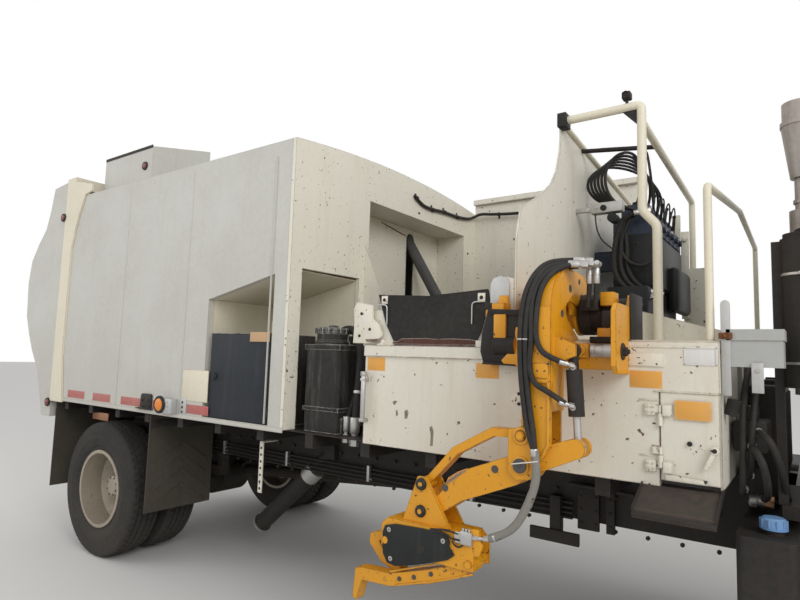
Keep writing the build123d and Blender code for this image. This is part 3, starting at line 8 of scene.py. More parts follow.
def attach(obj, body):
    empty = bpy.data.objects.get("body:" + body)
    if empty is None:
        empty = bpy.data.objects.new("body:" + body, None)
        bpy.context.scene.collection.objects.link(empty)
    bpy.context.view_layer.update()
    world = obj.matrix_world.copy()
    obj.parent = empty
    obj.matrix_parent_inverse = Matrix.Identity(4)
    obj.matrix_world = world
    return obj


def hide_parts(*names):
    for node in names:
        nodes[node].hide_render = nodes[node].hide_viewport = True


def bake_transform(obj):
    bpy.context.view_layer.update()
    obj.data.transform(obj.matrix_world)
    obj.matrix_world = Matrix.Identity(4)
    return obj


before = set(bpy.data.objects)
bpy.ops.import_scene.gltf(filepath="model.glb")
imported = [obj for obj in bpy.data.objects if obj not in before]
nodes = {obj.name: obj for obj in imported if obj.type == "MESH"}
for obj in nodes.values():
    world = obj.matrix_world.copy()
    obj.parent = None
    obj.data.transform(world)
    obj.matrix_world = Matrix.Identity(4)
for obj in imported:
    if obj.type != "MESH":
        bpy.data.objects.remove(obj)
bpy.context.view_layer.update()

# stations along the truck, in metres, as the frame has them
ringRear = -3.385
ringFront = ringRear + 0.165
bodyFront = ringRear + 2.975
hopperRear = bodyFront + 0.615
frontWall = hopperRear + 0.86
deckFront = frontWall + 0.825
cabRear = deckFront + 0.505
cabFront = cabRear + 1.62
rearAxle = -2.485
frontAxle = rearAxle + 5.25
bodySide = -1.22
deckZ = 1.725

# camera: solved from the rear rim's ellipse and the body's edges
cameraSettings = {
    "place": (2.185, -3.67, 1.635),
    "yaw": 35.755,
    "pitch": 5.572,
    "roll": -1.772,
    "focalPixels": 579.14,
    "pictureWidth": 800,
    "sensor": 36.0,
}


def link(name, data):
    item = bpy.data.objects.new(name, data)
    bpy.context.collection.objects.link(item)
    return item


def makeCamera(settings):
    data = bpy.data.cameras.new("camera")
    data.sensor_width = settings["sensor"]
    data.lens = settings["focalPixels"] / settings["pictureWidth"] * settings["sensor"]
    data.clip_start = 0.05
    data.clip_end = 200.0
    yaw, pitch, roll = (math.radians(settings[k]) for k in ("yaw", "pitch", "roll"))
    forward = Vector((-math.sin(yaw) * math.cos(pitch), math.cos(yaw) * math.cos(pitch), math.sin(pitch)))
    right = Vector((math.cos(yaw), math.sin(yaw), 0.0))
    down = forward.cross(right)
    tiltedRight = right * math.cos(roll) + down * math.sin(roll)
    tiltedDown = down * math.cos(roll) - right * math.sin(roll)
    turn = Matrix((tiltedRight, -tiltedDown, -forward)).transposed()
    camera = link("camera", data)
    camera.matrix_world = Matrix.Translation(settings["place"]) @ turn.to_4x4()
    bpy.context.scene.camera = camera


makeCamera(cameraSettings)
print("camera set")


def put(tree, kind, settings=None, sockets=None):
    node = tree.nodes.new("ShaderNode" + kind)
    for key, value in (settings or {}).items():
        setattr(node, key, value)
    for key, value in (sockets or {}).items():
        if isinstance(value, bpy.types.NodeSocket):
            tree.links.new(value, node.inputs[key])
        else:
            node.inputs[key].default_value = value
    return node


def newGroup(name, inputs, outputs):
    tree = bpy.data.node_groups.new(name, "ShaderNodeTree")
    for label, value in inputs.items():
        socket = tree.interface.new_socket(label, in_out="INPUT", socket_type="NodeSocketFloat")
        socket.default_value = value
    for label in outputs:
        tree.interface.new_socket(label, in_out="OUTPUT", socket_type="NodeSocketFloat")
    return tree, tree.nodes.new("NodeGroupInput"), tree.nodes.new("NodeGroupOutput")


def noise(tree, vector, scale, detail=4.0, roughness=0.5):
    return put(tree, "TexNoise", None, {"Vector": vector, "Scale": scale, "Detail": detail,
        "Roughness": roughness}).outputs["Fac"]


def mapRange(tree, value, low, high, toLow=0.0, toHigh=1.0):
    return put(tree, "MapRange", {"clamp": True}, {"Value": value, "From Min": low, "From Max": high,
        "To Min": toLow, "To Max": toHigh}).outputs["Result"]


def calc(tree, operation, a, b=0.0):
    return put(tree, "Math", {"operation": operation, "use_clamp": operation in ("ADD", "MULTIPLY")},
        {0: a, 1: b}).outputs[0]


def mixColour(tree, factor, a, b):
    node = put(tree, "Mix", {"data_type": "RGBA"}, {0: factor, 6: a, 7: b})
    return node.outputs[2]


# worn edges: where the bevelled normal leaves the true one, broken up by noise
def makeEdgeWear():
    tree, given, result = newGroup("edgeWear", {"Radius": 0.006, "Amount": 0.5, "Scale": 14.0}, ["Mask"])
    place = put(tree, "TexCoord").outputs["Object"]
    soft = put(tree, "Bevel", {"samples": 4}, {"Radius": given.outputs["Radius"]}).outputs["Normal"]
    true = put(tree, "NewGeometry").outputs["Normal"]
    turn = put(tree, "VectorMath", {"operation": "DOT_PRODUCT"}, {0: soft, 1: true}).outputs["Value"]
    edge = mapRange(tree, calc(tree, "SUBTRACT", 1.0, turn), 0.01, 0.16)
    patch = noise(tree, place, given.outputs["Scale"], 6.0, 0.65)
    broken = mapRange(tree, calc(tree, "MULTIPLY", edge, patch), 0.34, 0.46)
    tree.links.new(calc(tree, "MULTIPLY", broken, given.outputs["Amount"]), result.inputs["Mask"])
    return tree


# dust and streaks: blotches, runs that hang down, and more of both near the ground
def makeDust():
    tree, given, result = newGroup("dust", {"Amount": 0.5, "Low": 0.3, "High": 1.5, "Streaks": 0.5},
        ["Mask", "Streak"])
    place = put(tree, "TexCoord").outputs["Object"]
    blotch = noise(tree, place, 1.7, 8.0, 0.62)
    fine = noise(tree, place, 38.0, 3.0, 0.6)
    stretched = put(tree, "Mapping", None, {"Vector": place, "Scale": (7.0, 7.0, 0.55)}).outputs["Vector"]
    run = mapRange(tree, noise(tree, stretched, 2.2, 6.0, 0.7), 0.52, 0.74)
    height = put(tree, "SeparateXYZ", None, {"Vector": place}).outputs["Z"]
    low = mapRange(tree, height, given.outputs["Low"], given.outputs["High"], 1.0, 0.12)
    cloud = mapRange(tree, calc(tree, "MULTIPLY", blotch, calc(tree, "ADD", fine, 0.35)), 0.2, 0.62)
    base = calc(tree, "MULTIPLY", calc(tree, "ADD", cloud, calc(tree, "MULTIPLY", low, 0.45)),
        given.outputs["Amount"])
    tree.links.new(base, result.inputs["Mask"])
    tree.links.new(calc(tree, "MULTIPLY", run, given.outputs["Streaks"]), result.inputs["Streak"])
    return tree


# grain: shallow dents in the sheet and a fine orange peel
def makeGrain():
    tree, given, result = newGroup("grain", {"Fine": 220.0, "Dents": 2.4, "Share": 0.3}, ["Height"])
    place = put(tree, "TexCoord").outputs["Object"]
    fine = noise(tree, place, given.outputs["Fine"], 2.0)
    dents = noise(tree, place, given.outputs["Dents"], 3.0, 0.45)
    mixed = put(tree, "Mix", {"data_type": "FLOAT"}, {0: given.outputs["Share"], 2: dents,
        3: fine}).outputs[0]
    tree.links.new(mixed, result.inputs["Height"])
    return tree


# chips: small hard-edged specks that gather in patches, fewer above a height
def makeChips():
    tree, given, result = newGroup("chips", {"Scale": 60.0, "Amount": 0.5, "Low": 1.0, "High": 2.2},
        ["Mask"])
    place = put(tree, "TexCoord").outputs["Object"]
    specks = noise(tree, place, given.outputs["Scale"], 3.0, 0.6)
    patches = mapRange(tree, noise(tree, place, 3.1, 4.0, 0.6), 0.4, 0.66)
    height = put(tree, "SeparateXYZ", None, {"Vector": place}).outputs["Z"]
    fade = mapRange(tree, height, given.outputs["Low"], given.outputs["High"], 1.0, 0.25)
    lift = calc(tree, "MULTIPLY", calc(tree, "MULTIPLY", patches, fade), given.outputs["Amount"])
    raised = calc(tree, "ADD", specks, calc(tree, "MULTIPLY", lift, 0.22))
    tree.links.new(mapRange(tree, raised, 0.685, 0.705), result.inputs["Mask"])
    return tree


edgeWear = makeEdgeWear()
dustLayer = makeDust()
grainLayer = makeGrain()
chipLayer = makeChips()


def useGroup(tree, group, sockets):
    node = tree.nodes.new("ShaderNodeGroup")
    node.node_tree = group
    for key, value in sockets.items():
        node.inputs[key].default_value = value
    return node


def rgba(colour):
    return (*colour, 1.0)


# one recipe for every painted, cast, rubber or bare finish; the settings make the difference
def finish(name, settings):
    material = bpy.data.materials.new(name)
    material.use_nodes = True
    tree = material.node_tree
    shader = tree.nodes["Principled BSDF"]
    dust = useGroup(tree, dustLayer, {"Amount": settings["dust"], "Low": settings["low"],
        "High": settings["high"], "Streaks": settings["streaks"]})
    wear = useGroup(tree, edgeWear, {"Radius": settings["edge"], "Amount": settings["wear"],
        "Scale": settings["patch"]})
    grain = useGroup(tree, grainLayer, {"Fine": settings["fine"], "Dents": settings["dents"],
        "Share": settings["share"]})
    dusty = mixColour(tree, dust.outputs["Mask"], rgba(settings["colour"]), rgba(settings["dustColour"]))
    streaked = mixColour(tree, dust.outputs["Streak"], dusty, rgba(settings["streakColour"]))
    worn = mixColour(tree, wear.outputs["Mask"], streaked, rgba(settings["chip"]))
    if settings["chips"]:
        chips = useGroup(tree, chipLayer, {"Scale": settings["chipScale"], "Amount": settings["chips"],
            "Low": settings["low"], "High": settings["high"]})
        worn = mixColour(tree, chips.outputs["Mask"], worn, rgba(settings["speck"]))
    tree.links.new(worn, shader.inputs["Base Color"])
    dullest = min(1.0, settings["rough"] + 0.3)
    rough = put(tree, "Mix", {"data_type": "FLOAT"}, {0: dust.outputs["Mask"], 2: settings["rough"],
        3: dullest})
    tree.links.new(rough.outputs[0], shader.inputs["Roughness"])
    if settings["metal"]:
        metal = mapRange(tree, dust.outputs["Mask"], 0.0, 1.0, settings["metal"], settings["metal"] * 0.3)
        tree.links.new(metal, shader.inputs["Metallic"])
    bump = put(tree, "Bump", None, {"Strength": settings["bump"], "Distance": settings["depth"],
        "Height": grain.outputs["Height"]})
    tree.links.new(bump.outputs["Normal"], shader.inputs["Normal"])
    dark = max(settings["colour"]) < 0.07
    shader.inputs["Specular IOR Level"].default_value = 0.2 if dark else 0.5
    shader.inputs["Transmission Weight"].default_value = settings["clear"]
    return material


# what a finish has unless its recipe says otherwise
usual = {
    "wear": 0.4, "dust": 0.3, "streaks": 0.2, "rough": 0.5, "low": 0.3, "high": 1.5,
    "edge": 0.006, "patch": 14.0, "fine": 220.0, "dents": 2.4, "share": 0.3,
    "bump": 0.25, "depth": 0.004, "metal": 0.0, "clear": 0.0, "chips": 0.0, "chipScale": 60.0,
}


def recipe(colour, dustColour, chip, **given):
    return {**usual, "colour": colour, "dustColour": dustColour, "chip": chip, "streakColour": chip,
        "speck": chip, **given}


# the slot names the look's place in the model
finishes = {
    "bodyPaint": recipe((0.6, 0.6, 0.56), (0.4, 0.36, 0.29), (0.22, 0.12, 0.07), slot="body_grey", wear=0.5,
        dust=0.34, streaks=0.16, streakColour=(0.42, 0.37, 0.29), rough=0.42, low=1.1, high=1.9, dents=1.6,
        share=0.02, bump=0.35, depth=0.012),
    "creamPaint": recipe((0.8, 0.75, 0.6), (0.5, 0.42, 0.3), (0.26, 0.11, 0.045), slot="body_cream",
        wear=0.8, dust=0.26, streaks=0.18, streakColour=(0.5, 0.38, 0.24), rough=0.42, low=1.0, high=1.9,
        edge=0.009, patch=9.0),
    "facePaint": recipe((0.8, 0.77, 0.66), (0.46, 0.38, 0.27), (0.14, 0.07, 0.035), slot="body_grey",
        wear=0.8, dust=0.14, streaks=0.16, streakColour=(0.5, 0.36, 0.2), rough=0.45, low=1.2, high=2.4,
        edge=0.008, patch=9.0, chips=0.55, chipScale=46.0, speck=(0.035, 0.028, 0.024)),
    "hopperPaint": recipe((0.78, 0.755, 0.66), (0.44, 0.37, 0.27), (0.16, 0.08, 0.04), slot="body_cream",
        wear=0.8, dust=0.2, streaks=0.24, streakColour=(0.5, 0.38, 0.24), rough=0.45, low=1.2, high=2.4,
        edge=0.009, patch=11.0, chips=0.2, chipScale=30.0, speck=(0.12, 0.07, 0.04)),
    "armPaint": recipe((0.74, 0.325, 0.006), (0.36, 0.19, 0.045), (0.045, 0.028, 0.02), slot="arm_yellow",
        wear=0.95, dust=0.12, streakColour=(0.4, 0.19, 0.02), rough=0.36, low=0.4, high=1.6, patch=26.0,
        chips=0.45, chipScale=52.0, speck=(0.05, 0.035, 0.028)),
    "frameBlack": recipe((0.016, 0.016, 0.017), (0.085, 0.072, 0.058), (0.1, 0.05, 0.03), slot="frame_black",
        wear=0.5, streaks=0.15),
    "axleIron": recipe((0.022, 0.021, 0.02), (0.085, 0.07, 0.055), (0.12, 0.07, 0.04), slot="cast_dark",
        wear=0.5, dust=0.4, rough=0.6, fine=90.0, share=0.8, bump=0.5),
    "rimPaint": recipe((0.46, 0.405, 0.32), (0.17, 0.14, 0.105), (0.16, 0.1, 0.06), wear=0.7, dust=0.42,
        streaks=0.25, streakColour=(0.58, 0.54, 0.46), rough=0.38, low=0.1, high=1.1, chips=0.4, metal=0.35),
    "tyreRubber": recipe((0.02, 0.02, 0.021), (0.12, 0.105, 0.085), (0.06, 0.055, 0.05), slot="tyre_rubber",
        dust=0.36, streaks=0.0, rough=0.75, low=0.0, high=0.6, fine=160.0, share=0.7),
    "flapRubber": recipe((0.011, 0.012, 0.013), (0.095, 0.085, 0.07), (0.05, 0.05, 0.045), wear=0.3,
        dust=0.36, streakColour=(0.045, 0.045, 0.045), rough=0.62, high=1.1),
    "mudRubber": recipe((0.045, 0.041, 0.032), (0.12, 0.105, 0.08), (0.05, 0.05, 0.045), slot="flap_rubber",
        wear=0.3, dust=0.42, streaks=0.3, streakColour=(0.03, 0.028, 0.024), rough=0.66, high=1.1),
    "scarBrown": recipe((0.095, 0.055, 0.035), (0.24, 0.15, 0.09), (0.42, 0.38, 0.32), slot="cast_dark",
        wear=0.5, rough=0.7, fine=120.0, share=0.8, bump=0.4),
    "bareSteel": recipe((0.55, 0.55, 0.54), (0.3, 0.25, 0.2), (0.3, 0.2, 0.13), slot="steel", rough=0.33,
        metal=0.9, fine=400.0, share=0.8, bump=0.12),
    "galvanised": recipe((0.52, 0.53, 0.53), (0.36, 0.33, 0.28), (0.36, 0.24, 0.15), slot="galvanised",
        dust=0.35, rough=0.45, metal=0.55, fine=60.0, share=0.9, bump=0.1),
    "cabPaint": recipe((0.76, 0.76, 0.74), (0.48, 0.44, 0.37), (0.25, 0.14, 0.08), slot="cab_white",
        wear=0.25, dust=0.22, streaks=0.12, rough=0.3, low=0.8, high=1.7, bump=0.15),
    "cabTrim": recipe((0.04, 0.04, 0.042), (0.13, 0.12, 0.1), (0.08, 0.08, 0.08), slot="cab_trim", wear=0.2,
        dust=0.25, streaks=0.0, rough=0.7, fine=300.0, share=0.9),
    "deckBlue": recipe((0.016, 0.032, 0.068), (0.15, 0.14, 0.13), (0.13, 0.1, 0.08), slot="deck_mixed",
        wear=0.5, dust=0.35, rough=0.45, fine=120.0),
    "tapeRed": recipe((0.46, 0.028, 0.026), (0.42, 0.32, 0.27), (0.62, 0.58, 0.52), slot="tape_red",
        wear=0.3, dust=0.42, streakColour=(0.4, 0.3, 0.26), rough=0.35, low=1.0, high=1.6, fine=700.0,
        share=0.95, bump=0.15),
    "stickerOrange": recipe((0.78, 0.36, 0.045), (0.52, 0.36, 0.18), (0.8, 0.7, 0.5), slot="sticker_orange",
        wear=0.3, streaks=0.25, streakColour=(0.45, 0.3, 0.15), rough=0.45),
    "lensRed": recipe((0.2, 0.01, 0.012), (0.22, 0.12, 0.1), (0.3, 0.1, 0.08), slot="lamp_red", wear=0.1,
        dust=0.25, streaks=0.0, rough=0.16, fine=500.0, share=0.9, bump=0.3),
    "lensAmber": recipe((0.85, 0.23, 0.012), (0.5, 0.27, 0.1), (0.7, 0.4, 0.2), slot="lamp_amber", wear=0.1,
        dust=0.22, streaks=0.0, rough=0.16, fine=500.0, share=0.9, bump=0.3),
    "hoseBlack": recipe((0.014, 0.014, 0.015), (0.1, 0.09, 0.075), (0.06, 0.055, 0.05), slot="hose_rubber",
        wear=0.2, dust=0.32, streaks=0.0, fine=260.0, share=0.9, bump=0.3),
    "charcoal": recipe((0.017, 0.022, 0.03), (0.085, 0.085, 0.085), (0.16, 0.16, 0.16), slot="frame_black",
        wear=0.3, dust=0.22, streaks=0.12, low=1.1, edge=0.004),
    "blackChipped": recipe((0.012, 0.012, 0.013), (0.1, 0.085, 0.07), (0.55, 0.54, 0.5), slot="frame_black",
        wear=0.9, dust=0.35, streaks=0.25, streakColour=(0.35, 0.34, 0.32), rough=0.42, edge=0.012,
        patch=30.0),
    "tanBoard": recipe((0.62, 0.4, 0.22), (0.4, 0.28, 0.18), (0.45, 0.3, 0.18), slot="body_cream", wear=0.3,
        streaks=0.3, rough=0.75),
    "rustStrip": recipe((0.06, 0.026, 0.02), (0.16, 0.075, 0.05), (0.74, 0.7, 0.62), slot="cast_dark",
        wear=0.6, dust=0.4, streakColour=(0.4, 0.33, 0.27), rough=0.65, edge=0.007, patch=18.0, fine=90.0,
        share=0.8, bump=0.5),
    "rustCrust": recipe((0.26, 0.1, 0.035), (0.1, 0.035, 0.015), (0.07, 0.03, 0.015), slot="cast_dark",
        wear=0.6, dust=0.5, rough=0.85, low=1.0, high=2.9, fine=150.0, share=0.9, bump=0.8),
    "clearGlass": recipe((0.62, 0.7, 0.68), (0.46, 0.45, 0.4), (0.7, 0.72, 0.7), slot="glass", wear=0.1,
        dust=0.14, streaks=0.12, streakColour=(0.5, 0.5, 0.46), rough=0.03, clear=0.92, bump=0.02),
    "mirrorGlass": recipe((0.82, 0.84, 0.84), (0.45, 0.44, 0.4), (0.6, 0.6, 0.6), slot="mirror", wear=0.1,
        dust=0.12, streaks=0.1, rough=0.04, metal=1.0, bump=0.02),
    "sleeveGrey": recipe((0.2, 0.2, 0.19), (0.33, 0.29, 0.23), (0.05, 0.05, 0.05), slot="hose_rubber",
        wear=0.5, dust=0.45, streaks=0.4, streakColour=(0.06, 0.055, 0.05), rough=0.85, low=0.4, high=1.4,
        chips=1.0, chipScale=34.0, speck=(0.045, 0.042, 0.038), fine=420.0, share=0.95, bump=0.6),
    "panBrown": recipe((0.03, 0.026, 0.024), (0.1, 0.085, 0.07), (0.2, 0.11, 0.06), wear=0.7, dust=0.5,
        rough=0.6, fine=80.0, share=0.6, bump=0.4),
    "boxGrey": recipe((0.42, 0.43, 0.42), (0.34, 0.32, 0.28), (0.3, 0.28, 0.25), wear=0.3),
    "copper": recipe((0.5, 0.25, 0.13), (0.25, 0.17, 0.12), (0.25, 0.12, 0.07), slot="steel", rough=0.35,
        metal=0.9),
    "capBlue": recipe((0.13, 0.33, 0.66), (0.32, 0.36, 0.42), (0.12, 0.2, 0.35), slot="cap_blue", wear=0.3,
        dust=0.35, streaks=0.1, rough=0.45),
    "stackSteel": recipe((0.42, 0.39, 0.36), (0.3, 0.23, 0.19), (0.24, 0.15, 0.1), dust=0.5, streaks=0.5,
        streakColour=(0.17, 0.12, 0.1), rough=0.42, low=1.6, high=3.0, metal=0.6, fine=60.0, share=0.7),
    "scrapedSteel": recipe((0.22, 0.19, 0.18), (0.12, 0.07, 0.06), (0.7, 0.3, 0.02), slot="steel", wear=0.9,
        dust=0.5, streaks=0.6, streakColour=(0.6, 0.27, 0.02), patch=70.0, chips=1.0, chipScale=110.0,
        speck=(0.62, 0.28, 0.01), metal=0.3),
    "coverBlack": recipe((0.014, 0.016, 0.016), (0.055, 0.06, 0.055), (0.2, 0.19, 0.17), slot="frame_black",
        wear=0.5, dust=0.22, streaks=0.1, rough=0.42, low=0.6, high=1.0, edge=0.003, patch=40.0, bump=0.15),
    "cylinderGrey": recipe((0.06, 0.062, 0.064), (0.15, 0.14, 0.125), (0.16, 0.12, 0.09), slot="cast_dark",
        dust=0.4, streaks=0.3),
}
finished = {name: finish(name, settings) for name, settings in finishes.items()}
print("finishes made:", len(finished))

# which finish each node of the frame wears
nodeFinishes = {
    "bodyPaint": ["body_side_right", "body_side_left", "body_roof", "roof_housing", "tailgate"],
    "creamPaint": ["rear_ring", "deck_rails", "bay_liner"],
    "facePaint": ["body_front"],
    "hopperPaint": ["hopper_side", "hopper_walls", "front_deck", "hopper_door", "hopper_front"],
    "armPaint": ["boom", "forearm", "upper_link", "arm_base", "jaw_front", "jaw_rear", "gripper_head"],
    "blackChipped": ["bay_equipment"],
    "frameBlack": ["chassis_frame", "body_floor", "side_tanks", "rear_guard", "front_bumper", "packer",
        "elbow_barrel", "mirrors", "air_canister"],
    "boxGrey": ["control_box"],
    "axleIron": ["rear_axle", "front_axle", "engine", "knuckle_right", "knuckle_left"],
    "rimPaint": ["rear_rims_right", "rear_rims_left", "front_rim_right", "front_rim_left"],
    "tyreRubber": ["rear_tyres_right", "rear_tyres_left", "front_tyre_right", "front_tyre_left"],
    "flapRubber": ["rubber_flap"],
    "mudRubber": ["mudflaps"],
    "bareSteel": ["elbow_rod"],
    "stackSteel": ["exhaust_stack"],
    "cylinderGrey": ["packing_cylinder"],
    "panBrown": ["step_tray"],
    "cabPaint": ["cab_shell", "cab_door_right", "cab_door_left"],
    "cabTrim": ["cab_interior"],
    "deckBlue": ["deck_equipment"],
}
for name, members in nodeFinishes.items():
    for member in members:
        for place in nodes[member].material_slots:
            place.material = finished[name]


# floor, daylight from all round and two soft lamps
studio = {
    "floor": (0.8, 0.79, 0.77),
    "background": 1.0,
    "ambient": 0.62,
    "keyEnergy": 620.0,
    "keyPlace": (9.5, -6.5, 7.5),
    "keySize": 6.0,
    "fillEnergy": 130.0,
    "fillPlace": (-7.0, -8.0, 5.0),
    "fillSize": 5.0,
    "aim": (0.0, 0.0, 1.5),
}


def makeStudio(settings):
    bm = bmesh.new()
    bmesh.ops.create_grid(bm, x_segments=1, y_segments=1, size=60.0)
    mesh = bpy.data.meshes.new("floor")
    bm.to_mesh(mesh)
    bm.free()
    floor = link("floor", mesh)
    material = bpy.data.materials.new("floorPale")
    material.use_nodes = True
    shader = material.node_tree.nodes["Principled BSDF"]
    shader.inputs["Base Color"].default_value = rgba(settings["floor"])
    shader.inputs["Roughness"].default_value = 0.9
    mesh.materials.append(material)
    world = bpy.data.worlds.new("studio")
    bpy.context.scene.world = world
    world.use_nodes = True
    tree = world.node_tree
    back = tree.nodes["Background"]
    back.inputs["Color"].default_value = (1.0, 1.0, 1.0, 1.0)
    path = put(tree, "LightPath")
    seen = calc(tree, "MAXIMUM", path.outputs["Is Camera Ray"], calc(tree, "MAXIMUM",
        path.outputs["Is Glossy Ray"], path.outputs["Is Transmission Ray"]))
    tree.links.new(mapRange(tree, seen, 0.0, 1.0, settings["ambient"], settings["background"]),
        back.inputs["Strength"])
    for key in ("key", "fill"):
        data = bpy.data.lights.new(key, "AREA")
        data.energy = settings[key + "Energy"]
        data.size = settings[key + "Size"]
        place = Vector(settings[key + "Place"])
        aim = (Vector(settings["aim"]) - place).to_track_quat("-Z", "Y")
        link(key, data).matrix_world = Matrix.Translation(place) @ aim.to_matrix().to_4x4()
    bpy.context.scene.view_settings.view_transform = "Standard"


makeStudio(studio)
print("studio set")


# making pieces
def addPart(bm, part, turn=None):
    scratch = bpy.data.meshes.new("scratch")
    part.to_mesh(scratch)
    if turn:
        scratch.transform(turn)
    bm.from_mesh(scratch)
    bpy.data.meshes.remove(scratch)


def softenEdges(bm, edges, width, steps=2):
    bmesh.ops.bevel(bm, geom=edges, offset=width, offset_type="OFFSET", segments=steps, profile=0.5,
        affect="EDGES", material=-1, clamp_overlap=True)


# a block between two opposite corners, in either order
def addBlock(bm, corner, other, soften=0.002, turn=None):
    corner, other = Vector(corner), Vector(other)
    part = bmesh.new()
    bmesh.ops.create_cube(part, size=1.0)
    bmesh.ops.scale(part, vec=[abs(way) for way in other - corner], verts=part.verts)
    bmesh.ops.translate(part, vec=(corner + other) / 2, verts=part.verts)
    if soften:
        softenEdges(part, part.edges[:], soften)
    addPart(bm, part, turn)
    part.free()


def addBlocks(bm, rows):
    for corner, other, soften in rows:
        addBlock(bm, corner, other, soften)


# a pad on a face of the truck's right side, between two x and two z, that stands out from the face
def addPad(bm, x0, x1, z0, z1, out, soften=0.002, face=bodySide):
    addBlock(bm, (x0, face - out, z0), (x1, face + 0.001, z1), soften)


def addRod(bm, start, end, radius, sides=20, soften=0.0):
    start, end = Vector(start), Vector(end)
    part = bmesh.new()
    bmesh.ops.create_cone(part, cap_ends=True, segments=sides, radius1=radius, radius2=radius,
        depth=(end - start).length)
    if soften:
        rims = [edge for edge in part.edges if any(len(face.verts) > 4 for face in edge.link_faces)]
        softenEdges(part, rims, soften)
    settle(bm, part, (start + end) / 2, end - start)


# a profile of (radius, offset) pairs, spun about Z
def spinProfile(profile, steps, closed):
    part = bmesh.new()
    rim = [part.verts.new((radius, 0.0, offset)) for radius, offset in profile]
    for a, b in zip(rim, rim[1:]):
        part.edges.new((a, b))
    if closed:
        part.edges.new((rim[-1], rim[0]))
    bmesh.ops.spin(part, geom=part.verts[:] + part.edges[:], cent=(0, 0, 0), axis=(0, 0, 1), dvec=(0, 0, 0),
        angle=math.tau, steps=steps, use_merge=True, use_duplicate=False)
    bmesh.ops.remove_doubles(part, verts=part.verts, dist=0.00002)
    return part


# moves a part from the Z axis onto an axis through place
def settle(bm, part, place, axis):
    turn = Vector(axis).to_track_quat("Z", "Y").to_matrix().to_4x4()
    addPart(bm, part, Matrix.Translation(Vector(place)) @ turn)
    part.free()


# a profile that starts or ends on the axis stays open there, any other is a closed ring
def addTurned(bm, place, axis, profile, steps=28):
    part = spinProfile(profile, steps, profile[0][0] > 0 and profile[-1][0] > 0)
    bmesh.ops.recalc_face_normals(part, faces=part.faces)
    settle(bm, part, place, axis)


# an outline of (a, b) pairs on a plane square to an axis, given a thickness along that axis
def addPlate(bm, axis, at, thickness, outline, soften=0.002):
    spots = {"x": lambda a, b: (at, a, b), "y": lambda a, b: (a, at, b), "z": lambda a, b: (a, b, at)}[axis]
    part = bmesh.new()
    face = part.faces.new([part.verts.new(spots(a, b)) for a, b in outline])
    grown = bmesh.ops.extrude_face_region(part, geom=[face])["geom"]
    moved = [item for item in grown if isinstance(item, bmesh.types.BMVert)]
    shift = [thickness if letter == axis else 0.0 for letter in "xyz"]
    bmesh.ops.translate(part, vec=shift, verts=moved)
    bmesh.ops.recalc_face_normals(part, faces=part.faces)
    if soften:
        softenEdges(part, part.edges[:], soften)
    addPart(bm, part)
    part.free()


# hexagon bolt head on a washer, its axis pointing out of the surface
def addBolt(bm, place, size, axis=(0, -1, 0)):
    place, axis = Vector(place), Vector(axis).normalized()
    addRod(bm, place, place + axis * size * 0.18, size * 1.05, 16)
    addRod(bm, place + axis * size * 0.18, place + axis * size * 0.75, size * 0.82, 6, size * 0.08)


# a piece rides on its body
def finishPiece(piece, body):
    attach(piece, body)
    return piece


def smoothFaces(mesh):
    for face in mesh.polygons:
        face.use_smooth = True


def makePiece(name, bm, look, body="chassis", smooth=35.0):
    mesh = bpy.data.meshes.new(name)
    bm.to_mesh(mesh)
    bm.free()
    smoothFaces(mesh)
    mesh.set_sharp_from_angle(angle=math.radians(smooth))
    mesh.materials.append(finished[look])
    return finishPiece(link(name, mesh), body)


# hoses and pipes: one smooth line through a few points
def hoseCurve(name, routes, look):
    data = bpy.data.curves.new(name, "CURVE")
    data.dimensions = "3D"
    data.bevel_depth = 1.0
    data.bevel_resolution = 3
    data.resolution_u = 5
    for radius, points in routes:
        spline = data.splines.new("NURBS")
        spline.points.add(len(points) - 1)
        for spot, point in zip(spline.points, points):
            spot.co = (*point, 1.0)
            spot.radius = radius
        spline.order_u = 3
        spline.use_endpoint_u = True
    data.use_fill_caps = True
    data.materials.append(finished[look])
    return link(name, data)


def makeHose(name, routes, look="hoseBlack", body="chassis"):
    return finishPiece(hoseCurve(name, routes, look), body)


# a hose between two bodies: its curve becomes a mesh with its transform baked in
def makeBentHose(name, radius, points, look="hoseBlack"):
    curve = hoseCurve(name + "Route", [(radius, points)], look)
    graph = bpy.context.evaluated_depsgraph_get()
    mesh = bpy.data.meshes.new_from_object(curve.evaluated_get(graph))
    smoothFaces(mesh)
    bpy.data.objects.remove(curve)
    piece = link(name, mesh)
    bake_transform(piece)
    return piece


# crimped sleeve and union nut at a hose's end, pointing away from the hose
def addFitting(bm, place, axis, radius, length=0.05):
    place, axis = Vector(place), Vector(axis).normalized()
    addRod(bm, place - axis * length * 0.5, place + axis * length * 0.2, radius * 1.22, 16, radius * 0.12)
    addRod(bm, place + axis * length * 0.2, place + axis * length * 0.36, radius * 0.85, 12)
    addRod(bm, place + axis * length * 0.34, place + axis * length * 0.75, radius * 1.3, 6, radius * 0.1)


# wheels: ribbed tyres, hub nuts and cap bolts
wheelSettings = {
    "axleZ": 0.52,
    "steps": 120,
    "sidewall": [(0.2925, 0.097), (0.3, 0.105), (0.314, 0.1105), (0.322, 0.1105), (0.327, 0.1165),
        (0.352, 0.1265), (0.385, 0.1335), (0.402, 0.1345), (0.405, 0.133), (0.43, 0.1335), (0.462, 0.1285),
        (0.484, 0.1205), (0.49, 0.1215), (0.502, 0.115), (0.5125, 0.105)],
    "ribs": [(0.5165, 0.096), (0.518, 0.074), (0.506, 0.0705), (0.506, 0.0645), (0.519, 0.061),
        (0.5196, 0.029), (0.506, 0.026), (0.506, 0.02), (0.52, 0.0165)],
    "nutCircle": 0.1435,
    "nuts": 10,
    "capCircle": 0.068,
    "capBolts": 8,
}
